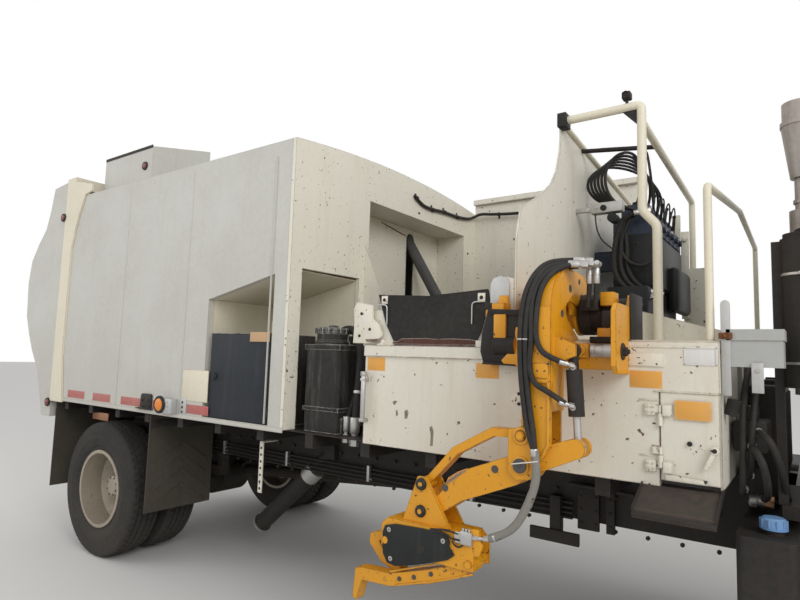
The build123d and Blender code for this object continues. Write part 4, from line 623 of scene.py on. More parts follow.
# per axle: x, the tyres' y, the nuts' y, the cap's y from there; names of tyres, nuts, body and solid
wheelSets = [
    (rearAxle, (1.09, 0.77), 0.944, 0.149, "tyresRear_", "nutsRear_", "wheels_rear_", "rear_tyres_"),
    (frontAxle, (1.05,), 1.13, 0.049, "tyreFront_", "nutsFront_", "wheel_front_", "front_tyre_"),
]


def addTyre(bm, place, side, settings):
    half = settings["sidewall"] + settings["ribs"]
    profile = half + [(radius, -offset) for radius, offset in reversed(half)]
    part = spinProfile(profile, settings["steps"], False)
    inner = [edge for edge in part.edges if edge.is_boundary]
    bmesh.ops.bridge_loops(part, edges=inner)
    bmesh.ops.recalc_face_normals(part, faces=part.faces)
    # pockets cut into the shoulder and middle ribs, every other step
    pockets = []
    for face in part.faces:
        middle = face.calc_center_median()
        radius = math.hypot(middle.x, middle.y)
        count = int((math.atan2(middle.y, middle.x) + math.tau) / math.tau * settings["steps"])
        onShoulder = 0.074 < abs(middle.z) < 0.104 and radius > 0.51
        onRib = 0.03 < abs(middle.z) < 0.06 and radius > 0.518
        if (onShoulder and count % 2 == 0) or (onRib and count % 2 == 1):
            pockets.append(face)
    bmesh.ops.inset_individual(part, faces=pockets, thickness=0.0075, depth=0.0)
    for face in pockets:
        middle = face.calc_center_median()
        inwards = Vector((middle.x, middle.y, 0.0)).normalized() * -0.007
        for vert in face.verts:
            vert.co += inwards
    settle(bm, part, place, (0, side, 0))


def addHubNuts(bm, place, side, capOffset, settings):
    out = Vector((0, side, 0))
    for count in range(settings["nuts"]):
        turn = math.tau * count / settings["nuts"]
        spot = Vector(place) + Vector((math.cos(turn), 0, math.sin(turn))) * settings["nutCircle"]
        addRod(bm, spot, spot + out * 0.004, 0.024, 16)
        addRod(bm, spot + out * 0.004, spot + out * 0.026, 0.0185, 6, 0.002)
        addRod(bm, spot + out * 0.026, spot + out * 0.04, 0.011, 10, 0.002)
    for count in range(settings["capBolts"]):
        turn = math.tau * (count + 0.5) / settings["capBolts"]
        spot = Vector(place) + Vector((math.cos(turn) * settings["capCircle"], side * capOffset,
            math.sin(turn) * settings["capCircle"]))
        addBolt(bm, spot, 0.008, out)


def makeWheels(wheelSets, settings):
    hub = settings["axleZ"]
    for side, hand in ((-1, "right"), (1, "left")):
        for x, tyreSpots, _, _, tyreName, _, body, solid in wheelSets:
            bm = bmesh.new()
            for y in tyreSpots:
                addTyre(bm, (x, side * y, hub), side, settings)
            piece = makePiece(tyreName + hand, bm, "tyreRubber", body + hand, smooth=40.0)
            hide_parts(solid + hand)
        for x, _, y, capOffset, _, nutName, body, _ in wheelSets:
            bm = bmesh.new()
            addHubNuts(bm, (x, side * y, hub), side, capOffset, settings)
            makePiece(nutName + hand, bm, "axleIron", body + hand)


makeWheels(wheelSets, wheelSettings)
print("wheels done")


# body side: lip, seams, tape, lamp, brackets and the bare plate
sideSettings = {
    "lip": (1.16, 1.186, 0.007),
    "tapeZ": (1.2, 1.262),
    "tapes": [(-3.082, -2.796), (-2.655, -2.382), (-2.223, -1.951), (-1.784, -1.716), (-1.368, -1.129)],
    "lamp": (-1.604, 1.245),
    "block": (-1.597, -1.371, 1.187, 1.289, 0.055),
    "blackBracket": (-1.935, -1.79, 1.203, 1.303),
    "plate": (-1.435, -1.146, 1.285, 1.5),
    "seams": (-2.3, -1.455),
    "seamTop": 2.93,
    "finX": -0.575,
}


def makeBodySide(settings):
    skin = bodySide
    bm = bmesh.new()
    low, high, out = settings["lip"]
    addPad(bm, ringFront, bodyFront, low, high, out, 0.003)
    addPad(bm, ringFront, bodyFront, high - 0.002, high + 0.006, 0.003, 0.0012)
    for x in settings["seams"]:
        addPad(bm, x - 0.006, x + 0.006, high, settings["seamTop"], 0.0022, 0.001)
    addPlate(bm, "x", settings["finX"], 0.006, [(skin - 0.012, 1.2), (skin + 0.001, 1.2),
        (skin + 0.001, 2.9), (skin - 0.012, 2.86)])
    makePiece("sideLip", bm, "bodyPaint")

    bm = bmesh.new()
    low, high = settings["tapeZ"]
    for start, end in settings["tapes"]:
        addBlock(bm, (start, skin - 0.0016, low), (end, skin + 0.0005, high), 0.0006)
    makePiece("tapeStrips", bm, "tapeRed")

    bm = bmesh.new()
    addPad(bm, *settings["plate"], 0.0025, 0.001)
    makePiece("barePlate", bm, "creamPaint")

    # marker lamp in its grommet, on a folded bracket with holes
    bm = bmesh.new()
    x, z = settings["lamp"]
    x0, x1, z0, z1, deep = settings["block"]
    ring = [(0.062, 0.0), (0.062, 0.01), (0.056, 0.016), (0.047, 0.016), (0.045, 0.009), (0.044, 0.0)]
    addTurned(bm, (x, skin - deep, z), (0, -1, 0), ring, 32)
    makePiece("lampGrommet", bm, "hoseBlack")
    bm = bmesh.new()
    addTurned(bm, (x, skin - deep - 0.006, z), (0, -1, 0), [(0.0445, 0.0), (0.044, 0.008), (0.034, 0.016),
        (0.018, 0.0195), (0.0, 0.02)], 32)
    makePiece("amberLens", bm, "lensAmber")
    bm = bmesh.new()
    addPad(bm, x - 0.066, x0 + 0.12, z0, z1, deep, 0.004)
    addPad(bm, x1 - 0.085, x1, z0 - 0.01, z1 + 0.012, 0.006)
    for row in range(3):
        for column in range(3):
            addBolt(bm, (x0 + 0.014 + column * 0.034, skin - deep, z0 + 0.02 + row * 0.031), 0.006)
    makePiece("lampBracket", bm, "galvanised")
    bm = bmesh.new()
    for row in range(3):
        x, z = x1 - 0.042, z0 + 0.018 + row * 0.033
        addRod(bm, (x, skin - 0.005, z), (x, skin - 0.0075, z), 0.009, 16)
    x0, x1, z0, z1 = settings["blackBracket"]
    addPlate(bm, "y", skin - 0.012, 0.0125, [(x0, z0), (x1, z0), (x1, z1 - 0.012), (x1 - 0.012, z1),
        (x0 + 0.02, z1), (x0 + 0.006, z1 - 0.014)])
    addPad(bm, x0 - 0.03, x1 + 0.015, z0 - 0.012, z0 - 0.004, 0.03)
    for dx in (0.03, 0.115):
        addBolt(bm, (x0 + dx, skin - 0.012, (z0 + z1) / 2), 0.01)
    makePiece("blackBracket", bm, "frameBlack")


makeBodySide(sideSettings)


# marker lamps on the ring and the roof housing, rear lamp clusters, the bar's tape and the housing's edge
tailSettings = {
    "ringSkin": 1.235,
    "markers": [(-3.405, 2.81), (-3.405, 1.136)],
    "housingLamp": (-2.334, 3.157),
    "housingSide": 1.1,
    "housingEdge": (-2.985, -2.235, 3.3, 3.325),
    "barFace": -3.5445,
    "clusterZ": 0.65,
    "barTapes": (-0.3, 0.06),
}


def addRoundLamp(body, lens, place, axis, radius):
    addTurned(body, place, axis, [(radius * 1.28, 0.0), (radius * 1.28, 0.006), (radius * 1.16, 0.014),
        (radius * 1.02, 0.014), (radius * 1.0, 0.004), (radius * 0.98, 0.0)])
    spot = Vector(place) + Vector(axis).normalized() * 0.004
    addTurned(lens, spot, axis, [(radius, 0.0), (radius, 0.006), (radius * 0.75, 0.012),
        (radius * 0.4, 0.0145), (0.0, 0.015)])


def makeTail(settings):
    body = bmesh.new()
    lens = bmesh.new()
    for side in (-1, 1):
        for x, z in settings["markers"]:
            addRoundLamp(body, lens, (x, side * (settings["ringSkin"] - 0.0005), z), (0, side, 0), 0.03)
        x, z = settings["housingLamp"]
        addRoundLamp(body, lens, (x, side * (settings["housingSide"] - 0.0005), z), (0, side, 0), 0.028)
    makePiece("markerRims", body, "hoseBlack")
    makePiece("markerLenses", lens, "lensRed")
    # rear lamp clusters, amber between two red ones, and the bumper bar's tape
    rims = bmesh.new()
    red = bmesh.new()
    amber = bmesh.new()
    x = settings["barFace"]
    for side in (-1, 1):
        for count in range(3):
            spot = (x, side * (0.6 + count * 0.15), settings["clusterZ"])
            addRoundLamp(rims, amber if count == 1 else red, spot, (-1, 0, 0), 0.05)
    makePiece("rearRims", rims, "hoseBlack")
    makePiece("rearRed", red, "lensRed")
    makePiece("rearAmber", amber, "lensAmber")
    bm = bmesh.new()
    for y in settings["barTapes"]:
        addBlock(bm, (-3.5463, y, 0.625), (x, y + 0.24, 0.68), 0.0006)
    makePiece("rearTape", bm, "tapeRed")
    # edge angle round the roof housing
    bm = bmesh.new()
    x0, x1, z0, z1 = settings["housingEdge"]
    for side in (-1, 1):
        y = side * settings["housingSide"]
        addBlock(bm, (x0, y, z0), (x1, y + side * 0.004, z1), 0.0015)
    makePiece("housingEdge", bm, "frameBlack")


makeTail(tailSettings)


# mudflaps: hanger bars, bolts and the raised chevrons of the front pair
flapSettings = {
    "frontX": -1.831,
    "rearX": -3.308,
    "inner": 0.645,
    "outer": 1.205,
    "topFront": 1.17,
    "topRear": 1.15,
    "lowFront": 0.44,
    "chevrons": 4,
}


def makeFlapDetails(settings):
    iron = bmesh.new()
    ribs = bmesh.new()
    middle = (settings["inner"] + settings["outer"]) / 2
    width = settings["outer"] - settings["inner"]
    for side in (-1, 1):
        low, high = sorted((side * settings["inner"], side * settings["outer"]))
        for x, top, face in ((settings["frontX"] + 0.009, settings["topFront"], 1),
                (settings["rearX"], settings["topRear"], -1)):
            addBlock(iron, (x, low, top - 0.115), (x + face * 0.006, high, top - 0.06), 0.0015)
            for count in range(5):
                spot = (x + face * 0.006, low + width * (count + 0.5) / 5, top - 0.0875)
                addBolt(iron, spot, 0.011, (face, 0, 0))
        x = settings["frontX"] + 0.009
        for count in range(settings["chevrons"]):
            peak = settings["lowFront"] + 0.185 + count * 0.105
            for arm in (-1, 1):
                tip = side * middle + arm * width * 0.4
                points = [(side * middle, peak), (tip, peak - 0.15), (tip, peak - 0.172),
                    (side * middle, peak - 0.022)]
                addPlate(ribs, "x", x - 0.0005, 0.005, points, 0.0012)
    makePiece("flapHangers", iron, "frameBlack")
    makePiece("flapChevrons", ribs, "mudRubber")


makeFlapDetails(flapSettings)
print("body side and tail done")


# equipment bay: cabinet door, tank cap, hoses, fittings and small boxes
baySettings = {
    "cabinet": (-1.155, -0.557, -1.208, 1.176, 1.755),
    "tank": (-0.35, -0.07, -1.12, -0.7, 1.69),
    "neck": (-0.225, -1.01),
    "fittings": [((0.018, -1.065, 1.215), (0, 0, -1), 0.024, 0.13),
        ((-0.048, -1.065, 1.22), (0, 0, -1), 0.018, 0.12), ((-0.205, -0.96, 1.77), (-0.9, 0, -0.35), 0.025)],
    "boxes": [((-0.15, -1.1, 1.1765), (-0.055, -1.03, 1.27), 0.006),
        ((-0.075, -1.02, 1.1765), (0.05, -0.92, 1.235), 0.006)],
    "thickHose": (0.024, [(-0.205, -0.96, 1.775), (-0.145, -0.965, 1.8), (-0.075, -0.975, 1.775),
        (-0.01, -1.0, 1.66), (0.012, -1.035, 1.5), (0.018, -1.055, 1.33), (0.018, -1.065, 1.21)]),
    "thinHose": (0.017, [(-0.085, -0.86, 1.65), (-0.05, -0.9, 1.665), (-0.02, -0.95, 1.6),
        (-0.015, -1.0, 1.46), (-0.04, -1.04, 1.33), (-0.048, -1.065, 1.215)]),
}


def makeBay(settings):
    x0, x1, y, z0, z1 = settings["cabinet"]
    lockX, lockZ = x0 + 0.07, (z0 + z1) / 2
    potX, potY = x1 - 0.09, y + 0.14
    bm = bmesh.new()
    addPlate(bm, "y", y - 0.006, 0.007, [(x0 + 0.012, z0 + 0.014), (x1 - 0.012, z0 + 0.014),
        (x1 - 0.012, z1 - 0.012), (x0 + 0.012, z1 - 0.012)], 0.003)
    addRod(bm, (lockX, y - 0.006, lockZ), (lockX, y - 0.016, lockZ), 0.018, 20, 0.003)
    addBlock(bm, (lockX - 0.006, y - 0.022, lockZ - 0.03), (lockX + 0.006, y - 0.014, lockZ + 0.03), 0.003)
    for z in (z0 + 0.09, z1 - 0.09):
        addRod(bm, (x1 - 0.008, y - 0.006, z - 0.03), (x1 - 0.008, y - 0.006, z + 0.03), 0.007, 12)
    makePiece("cabinetDoor", bm, "charcoal")
    bm = bmesh.new()
    addBlock(bm, (x1 - 0.185, y + 0.01, z1), (x1 - 0.01, y + 0.075, z1 + 0.008))
    addBlock(bm, (x1 - 0.19, y - 0.014, z1 - 0.055), (x1 - 0.01, y - 0.006, z1 + 0.006))
    makePiece("tanBlock", bm, "tanBoard")
    bm = bmesh.new()
    addRod(bm, (potX, potY, z1), (potX, potY, z1 + 0.085), 0.048, 24, 0.008)
    addRod(bm, (potX, potY, z1 + 0.085), (potX, potY, z1 + 0.105), 0.034, 24, 0.004)
    makePiece("smallPot", bm, "cabPaint")

    # top rim and strap of the tank, and its filler with a ribbed cap
    bm = bmesh.new()
    x, y = settings["neck"]
    x0, x1, y0, y1, top = settings["tank"]
    addBlock(bm, (x0 - 0.004, y0 - 0.004, top - 0.03), (x1 + 0.004, y1 + 0.004, top + 0.004), 0.004)
    addTurned(bm, (x, y, top), (0, 0, 1), [(0.0, 0.003), (0.112, 0.003), (0.112, 0.02), (0.1, 0.03),
        (0.098, 0.07), (0.108, 0.078), (0.108, 0.098), (0.096, 0.106), (0.0, 0.11)], 40)
    for count in range(16):
        turn = math.tau * count / 16
        spot = Vector((x + math.cos(turn) * 0.104, y + math.sin(turn) * 0.104, top + 0.07))
        addBlock(bm, spot - Vector((0.007, 0.007, 0.0)), spot + Vector((0.007, 0.007, 0.034)))
    addRod(bm, (x, y, top + 0.1), (x, y, top + 0.122), 0.03, 8, 0.004)
    addRod(bm, (x1 - 0.055, y + 0.05, top), (x1 - 0.055, y + 0.05, top + 0.06), 0.026, 16, 0.003)
    addBlock(bm, (x0 - 0.003, y0 - 0.003, 1.3), (x1 + 0.003, y1 + 0.003, 1.325))
    makePiece("tankTop", bm, "blackChipped")

    makeHose("bayHoses", [settings["thickHose"], settings["thinHose"]])
    bm = bmesh.new()
    for fitting in settings["fittings"]:
        addFitting(bm, *fitting)
    addRod(bm, (0.014, -1.045, 1.43), (0.015, -1.048, 1.412), 0.0275, 20, 0.003)
    makePiece("bayFittings", bm, "bareSteel")
    bm = bmesh.new()
    addBlocks(bm, settings["boxes"])
    makePiece("bayBoxes", bm, "blackChipped")


makeBay(baySettings)


# front face: conduit with its clips, bolts and the rusty crack in the recess
faceSettings = {
    "conduit": [(-0.398, 0.075, 2.925), (-0.398, 0.11, 2.905), (-0.395, 0.2, 2.868), (-0.393, 0.34, 2.868),
        (-0.393, 0.5, 2.888), (-0.393, 0.74, 2.893), (-0.39, 0.95, 2.915), (-0.382, 1.045, 2.955),
        (-0.33, 1.066, 2.985), (-0.2, 1.067, 2.965), (0.05, 1.067, 2.945), (0.24, 1.067, 2.94)],
    "radius": 0.0135,
    "bolts": [(0.16, 2.8), (0.98, 2.6)],
    "faceClips": [(0.1, 2.908), (0.34, 2.868), (0.53, 2.889), (0.76, 2.894)],
    "wallClips": [(-0.14, 2.96), (0.16, 2.942)],
    "faceX": -0.393,
    "wallY": 1.067,
    "recessBack": -0.69,
    "crack": [(0.022, 2.733), (0.1, 2.724), (0.2, 2.711), (0.3, 2.696), (0.383, 2.684), (0.383, 2.676),
        (0.29, 2.687), (0.19, 2.701), (0.09, 2.716), (0.022, 2.728)],
}


def makeFace(settings):
    makeHose("conduit", [(settings["radius"], settings["conduit"])])
    bm = bmesh.new()
    wide = 0.009
    radius = settings["radius"] + 0.004
    x, wallY = settings["faceX"], settings["wallY"]
    for y, z in settings["faceClips"]:
        addRod(bm, (x, y - wide, z), (x, y + wide, z), radius, 16)
        addBlock(bm, (bodyFront - 0.001, y - wide, z + 0.012), (bodyFront + 0.006, y + wide, z + 0.04),
            0.001)
    for x, z in settings["wallClips"]:
        addRod(bm, (x - wide, wallY, z), (x + wide, wallY, z), radius, 16)
        addBlock(bm, (x - wide, 1.074, z - 0.04), (x + wide, 1.0805, z - 0.012), 0.001)
    makePiece("conduitClips", bm, "frameBlack")
    # bolts on the front face, and a crack that rust runs from in the recess
    bm = bmesh.new()
    for y, z in settings["bolts"]:
        addBolt(bm, (bodyFront - 0.0005, y, z), 0.01, (1, 0, 0))
    makePiece("faceBolts", bm, "frameBlack")
    bm = bmesh.new()
    addPlate(bm, "x", settings["recessBack"] - 0.001, 0.0025, settings["crack"], 0.0005)
    makePiece("rustCrack", bm, "rustCrust")


makeFace(faceSettings)
print("bay and face done")


# hopper side: stickers, worn strip at the sill, paint scars, brackets, wires, patch, silver rod and plates
hopperSettings = {
    "ledge": -1.234,
    "doorSkin": -1.228,
    "sill": 1.69,
    "stickers": [(0.22, 0.338, 1.557, 1.627), (0.875, 0.995, 1.546, 1.616),
        (1.571, 1.693, 1.541, 1.609), (1.737, 1.862, 1.429, 1.501)],
    "raised": (1.568, 1.7, 1.626, 1.68),
    "framed": (1.772, 1.884, 1.636, 1.704),
    "clips": [(0.33, 1.931), (0.905, 1.925)],
    "scars": [
        [(0.393, 1.398), (0.404, 1.408), (0.425, 1.407), (0.415, 1.394), (0.405, 1.384)],
        [(0.416, 1.359), (0.426, 1.361), (0.432, 1.34), (0.422, 1.327), (0.417, 1.338)],
        [(0.471, 1.36), (0.487, 1.368), (0.496, 1.355), (0.489, 1.324), (0.473, 1.32)],
        [(0.624, 1.291), (0.638, 1.302), (0.648, 1.274), (0.645, 1.206), (0.63, 1.202), (0.632, 1.253)],
        [(0.633, 1.634), (0.655, 1.651), (0.672, 1.645), (0.681, 1.633)],
        [(0.699, 1.634), (0.71, 1.645), (0.722, 1.632)],
        [(0.737, 1.634), (0.748, 1.644), (0.759, 1.632)],
    ],
}


def makeHopperSide(settings):
    skin, ledge, sill = bodySide, settings["ledge"], settings["sill"]
    bm = bmesh.new()
    for x0, x1, z0, z1 in settings["stickers"]:
        face = settings["doorSkin"] if x0 > 1.7 else skin
        addBlock(bm, (x0, face - 0.0012, z0), (x1, face + 0.0005, z1), 0.0005)
    makePiece("orangeStickers", bm, "stickerOrange")

    bm = bmesh.new()
    addPlate(bm, "y", ledge - 0.0015, 0.015, [(0.4, sill + 0.001), (0.86, sill + 0.001),
        (0.835, sill + 0.008), (0.72, sill + 0.007), (0.6, sill + 0.009), (0.47, sill + 0.006)], 0.0008)
    addPlate(bm, "y", skin - 0.0012, 0.0015, [(0.385, sill + 0.001), (0.885, sill + 0.001), (0.87, 1.704),
        (0.4, 1.704)], 0.0003)
    addPlate(bm, "y", -1.2342, 0.0025, [(0.39, 1.699), (0.885, 1.699), (0.88, 1.722), (0.842, 1.727),
        (0.748, 1.73), (0.655, 1.727), (0.593, 1.731), (0.449, 1.728), (0.42, 1.712), (0.398, 1.716)],
        0.0004)
    makePiece("wornStrip", bm, "rustStrip")

    # scars where the paint has come off
    bm = bmesh.new()
    for outline in settings["scars"]:
        addPlate(bm, "y", skin - 0.0006, 0.001, outline, 0.0001)
    addPlate(bm, "y", ledge - 0.0109, 0.0012, [(0.217, 1.722), (0.275, 1.724), (0.322, 1.728),
        (0.318, 1.706), (0.3, 1.7), (0.262, 1.703), (0.222, 1.709)], 0.0001)
    makePiece("paintScars", bm, "scarBrown")

    # bracket plate at the sill's rear end, with its stepped edge, and the plate behind the arm
    bm = bmesh.new()
    addPlate(bm, "y", ledge - 0.01, 0.014, [(0.13, 1.7), (0.29, 1.7), (0.33, 1.745), (0.305, 1.8),
        (0.262, 1.83), (0.258, 1.905), (0.15, 1.925), (0.128, 1.89), (0.135, 1.8)])
    for x in (0.29, 0.88):
        addPad(bm, x, x + 0.055, sill, 1.722, skin - ledge + 0.006, 0.003)
    for x, z in settings["clips"]:
        addBlock(bm, (x - 0.02, -1.2345, z - 0.022), (x + 0.02, -1.23, z + 0.022), 0.001)
    makePiece("sillBrackets", bm, "facePaint")
    bm = bmesh.new()
    addPlate(bm, "y", -1.232, 0.012, [(0.95, 1.8), (1.046, 1.8), (1.046, 1.985), (1.034, 2.012),
        (1.0, 2.024), (0.966, 2.014), (0.95, 1.985)])
    makePiece("greyPlate", bm, "galvanised")

    # bolts, bent wires and the patch
    bm = bmesh.new()
    for x, z in settings["clips"]:
        addBolt(bm, (x, -1.2345, z), 0.009)
    for x, z in ((0.175, 1.74), (0.185, 1.86), (0.245, 1.775)):
        addBolt(bm, (x, ledge - 0.01, z), 0.008)
    makePiece("sillBolts", bm, "frameBlack")
    wires = []
    for x, way in ((0.35, -1), (0.862, 1)):
        wires.append((0.0035, [(x + way * 0.055, -1.238, 1.905), (x + way * 0.012, -1.24, 1.906),
            (x, -1.241, 1.898), (x - way * 0.004, -1.24, 1.885), (x - way * 0.004, -1.238, 1.8)]))
    makeHose("flapWires", wires, "bareSteel")
    bm = bmesh.new()
    addTurned(bm, (1.08, skin, 1.465), (0, -1, 0), [(0.026, -0.001), (0.026, 0.002), (0.02, 0.0035),
        (0.0, 0.003)], 24)
    makePiece("roundPatch", bm, "facePaint")
    bm = bmesh.new()
    for z in (1.44, 1.485):
        addRod(bm, (1.095, skin - 0.001, z), (1.095, skin - 0.004, z), 0.0075, 14)
    makePiece("patchSpots", bm, "frameBlack")
    bm = bmesh.new()
    addRod(bm, (0.22, -1.25, 1.3), (0.22, -1.25, 1.526), 0.013, 16, 0.002)
    addRod(bm, (0.22, -1.25, 1.526), (0.22, -1.25, 1.55), 0.018, 6, 0.002)
    for z0, z1 in ((1.285, 1.303), (1.5, 1.514)):
        addPad(bm, 0.205, 0.235, z0, z1, 0.042)
    makePiece("silverRod", bm, "bareSteel")

    # raised plates, ribs and the blank frame on the deck's side
    bm = bmesh.new()
    addPad(bm, *settings["raised"], 0.006)
    addPad(bm, 1.3, 1.884, 1.7, 1.708, 0.003, 0.001)
    addPad(bm, 1.66, 1.886, 1.528, 1.5335, 0.005, 0.0015)
    for z in (1.497, 1.282):
        addPad(bm, 1.606, 1.682, z - 0.0035, z + 0.0035, 0.004, 0.0015)
    makePiece("deckSidePlates", bm, "facePaint")
    bm = bmesh.new()
    x0, x1, z0, z1 = settings["framed"]
    rim = 0.005
    for bar in ((x0, x1, z0, z0 + rim), (x0, x1, z1 - rim, z1), (x0, x0 + rim, z0, z1),
            (x1 - rim, x1, z0, z1)):
        addPad(bm, *bar, 0.0035, 0.0008)
    addPad(bm, x0 + 0.003, x1 - 0.003, z0 + 0.003, z1 - 0.003, 0.0012, 0.0004)
    makePiece("blankFrame", bm, "cabPaint")


makeHopperSide(hopperSettings)


# door in the deck's side: hinges, hole, strip along its bottom and latch
doorSettings = {
    "face": -1.228,
    "hinges": (1.46, 1.245),
    "hole": (1.787, 1.341),
    "latch": (1.872, 1.326),
}


def makeSideDoor(settings):
    face = settings["face"]
    bm = bmesh.new()
    for z in settings["hinges"]:
        addPad(bm, 1.694, 1.728, z - 0.022, z + 0.022, 0.01, face=face)
    addPlate(bm, "y", face - 0.0025, 0.003, [(1.7, 1.222), (1.845, 1.214), (1.845, 1.196), (1.7, 1.196)],
        0.0008)
    x, z = settings["latch"]
    addRod(bm, (x, face + 0.001, z), (x, face - 0.016, z), 0.016, 20, 0.003)
    addPlate(bm, "y", face - 0.015, 0.008, [(x - 0.012, z - 0.006), (x + 0.008, z - 0.01),
        (x - 0.022, z - 0.07), (x - 0.032, z - 0.076), (x - 0.04, z - 0.068)], 0.003)
    makePiece("doorFittings", bm, "facePaint", "side_door")
    bm = bmesh.new()
    x, z = settings["hole"]
    addTurned(bm, (x, face, z), (0, -1, 0), [(0.0, 0.0006), (0.0065, 0.0006), (0.0075, 0.0025),
        (0.009, 0.002), (0.0095, -0.001)], 20)
    addBolt(bm, (settings["latch"][0], face - 0.016, settings["latch"][1]), 0.008)
    makePiece("doorHole", bm, "frameBlack", "side_door")
    bm = bmesh.new()
    for z in settings["hinges"]:
        addBlock(bm, (1.628, -1.232, z - 0.022), (1.668, -1.2195, z + 0.022))
        for x in (1.638, 1.658):
            for dz in (0.01, -0.01):
                addBolt(bm, (x, -1.232, z + dz), 0.005)
    makePiece("hingePlates", bm, "facePaint")


makeSideDoor(doorSettings)


# step tray's raised flanges
def makeTray():
    bm = bmesh.new()
    for x in (1.613, 1.887):
        addPlate(bm, "x", x, 0.005, [(-1.15, 1.17), (-1.38, 1.082), (-1.384, 1.115), (-1.225, 1.18),
            (-1.15, 1.18)], 0.0015)
    addPlate(bm, "y", -1.384, 0.005, [(1.613, 1.078), (1.892, 1.078), (1.892, 1.096), (1.613, 1.096)],
        0.0015)
    makePiece("trayFlanges", bm, "frameBlack")


makeTray()
print("hopper side done")


# arm carrier on the hopper side: black guide, yellow inserts, beam, hub sleeve and the carrier's pin
carrierSettings = {
    "hub": (-1.105, 1.844),
    "hubRadius": 0.062,
    "guide": [(0.97, 1.863), (0.957, 1.813), (0.94, 1.752), (0.934, 1.67), (0.951, 1.613), (1.0, 1.613),
        (1.0, 1.863)],
    "lug": [(0.991, 1.86), (1.013, 1.928), (1.05, 1.927), (1.058, 1.86)],
    "beam": [(1.042, 1.632), (1.06, 1.61), (1.549, 1.606), (1.549, 1.7), (1.112, 1.705)],
    "pin": (1.568, -1.31, 1.681),
    "insertBlocks": [((1.004, -1.303, 1.722), (1.064, -1.29, 1.838), 0.003),
        ((1.455, -1.222, 1.872), (1.512, -1.15, 1.93), 0.004),
        ((1.45, -1.25, 1.722), (1.505, -1.195, 1.778), 0.004),
        ((1.372, -1.312, 1.652), (1.436, -1.298, 1.712), 0.004)],
    "sleeveBlocks": [((1.463, -1.235, 1.775), (1.52, -1.16, 1.85), 0.006),
        ((1.42, -1.255, 1.716), (1.545, -1.225, 1.742), 0.004),
        ((1.5675, -1.205, 1.735), (1.577, -1.02, 1.925), 0.002)],
}


def makeCarrier(settings):
    bm = bmesh.new()
    addPlate(bm, "y", -1.2925, 0.064, settings["guide"])
    addPlate(bm, "y", -1.3, 0.07, [(0.968, 1.864), (1.126, 1.856), (1.126, 1.831), (0.985, 1.84)])
    addBlock(bm, (0.953, -1.2925, 1.86), (0.989, -1.2195, 1.8925), 0.003)
    addPlate(bm, "y", -1.302, 0.08, [(0.948, 1.612), (1.112, 1.608), (1.112, 1.616), (0.951, 1.621)], 0.0015)
    addBlock(bm, (0.995, -1.292, 1.615), (1.127, -1.24, 1.845))
    addTurned(bm, (1.0, -1.272, 1.698), (1, 0, 0), [(0.0, 0.004), (0.03, 0.004), (0.034, 0.0), (0.042, 0.0),
        (0.0465, 0.005), (0.0465, 0.107), (0.0, 0.107)], 40)
    addRod(bm, (1.127, -1.262, 1.852), (1.215, -1.262, 1.848), 0.01, 14)
    makePiece("guideFrame", bm, "frameBlack")

    bm = bmesh.new()
    addBlocks(bm, settings["insertBlocks"])
    addPlate(bm, "y", -1.262, 0.02, settings["lug"])
    addPlate(bm, "y", -1.3, 0.078, settings["beam"], 0.003)
    addRod(bm, (1.404, -1.3, 1.684), (1.404, -1.318, 1.684), 0.02, 28, 0.004)
    makePiece("carrierInserts", bm, "armPaint")

    bm = bmesh.new()
    addTurned(bm, (1.445, -1.308, 1.682), (1, 0, 0), [(0.0, 0.0), (0.024, 0.0), (0.0275, 0.003),
        (0.0275, 0.02), (0.0255, 0.022), (0.0255, 0.05), (0.0275, 0.052), (0.0275, 0.103), (0.0, 0.103)], 32)
    makePiece("carrierRoller", bm, "bareSteel")

    y, z = settings["hub"]
    radius = settings["hubRadius"]
    bm = bmesh.new()
    addTurned(bm, (1.452, y, z), (1, 0, 0), [(radius - 0.004, 0.0), (radius + 0.016, 0.0),
        (radius + 0.02, 0.004), (radius + 0.02, 0.03), (radius + 0.006, 0.034), (radius + 0.006, 0.096),
        (radius - 0.004, 0.096)], 48)
    addBlocks(bm, settings["sleeveBlocks"])
    x, y, z = settings["pin"]
    addTurned(bm, (x - 0.002, y, z), (1, 0, 0), [(0.034, 0.0), (0.034, 0.005), (0.03, 0.008), (0.018, 0.008),
        (0.018, 0.01), (0.0, 0.01)], 32)
    addRod(bm, (x + 0.006, y, z), (x + 0.02, y, z), 0.0175, 6, 0.002)
    addRod(bm, (x + 0.018, y, z), (x + 0.028, y, z), 0.0095, 16, 0.002)
    makePiece("hubSleeve", bm, "frameBlack")


makeCarrier(carrierSettings)


# boom: the hooked side plate with its holes, the raised face, pin heads and the collar on the hub
boomSettings = {
    "side": 1.3405,
    "hook": [(-1.482, 1.5), (-1.484, 1.785), (-1.478, 1.851), (-1.46, 1.909), (-1.425, 1.966),
        (-1.372, 2.01), (-1.31, 2.031), (-1.237, 2.026), (-1.15, 2.022), (-1.1, 2.014), (-1.071, 1.998),
        (-1.04, 1.947), (-1.018, 1.9), (-1.022, 1.88), (-1.059, 1.868), (-1.117, 1.866), (-1.194, 1.876),
        (-1.28, 1.888), (-1.318, 1.878), (-1.332, 1.858), (-1.332, 1.834), (-1.316, 1.81), (-1.235, 1.766),
        (-1.15, 1.722), (-1.142, 1.706), (-1.16, 1.694), (-1.3, 1.655), (-1.35, 1.618), (-1.385, 1.56),
        (-1.395, 1.5)],
    "holes": [(-1.283, 1.942, 0.0165), (-1.139, 1.914, 0.019), (-1.168, 1.984, 0.012),
        (-1.378, 1.83, 0.015)],
    "face": -1.4915,
    "elbow": (1.223, 1.222),
    "linkPin": (1.223, 1.337),
}


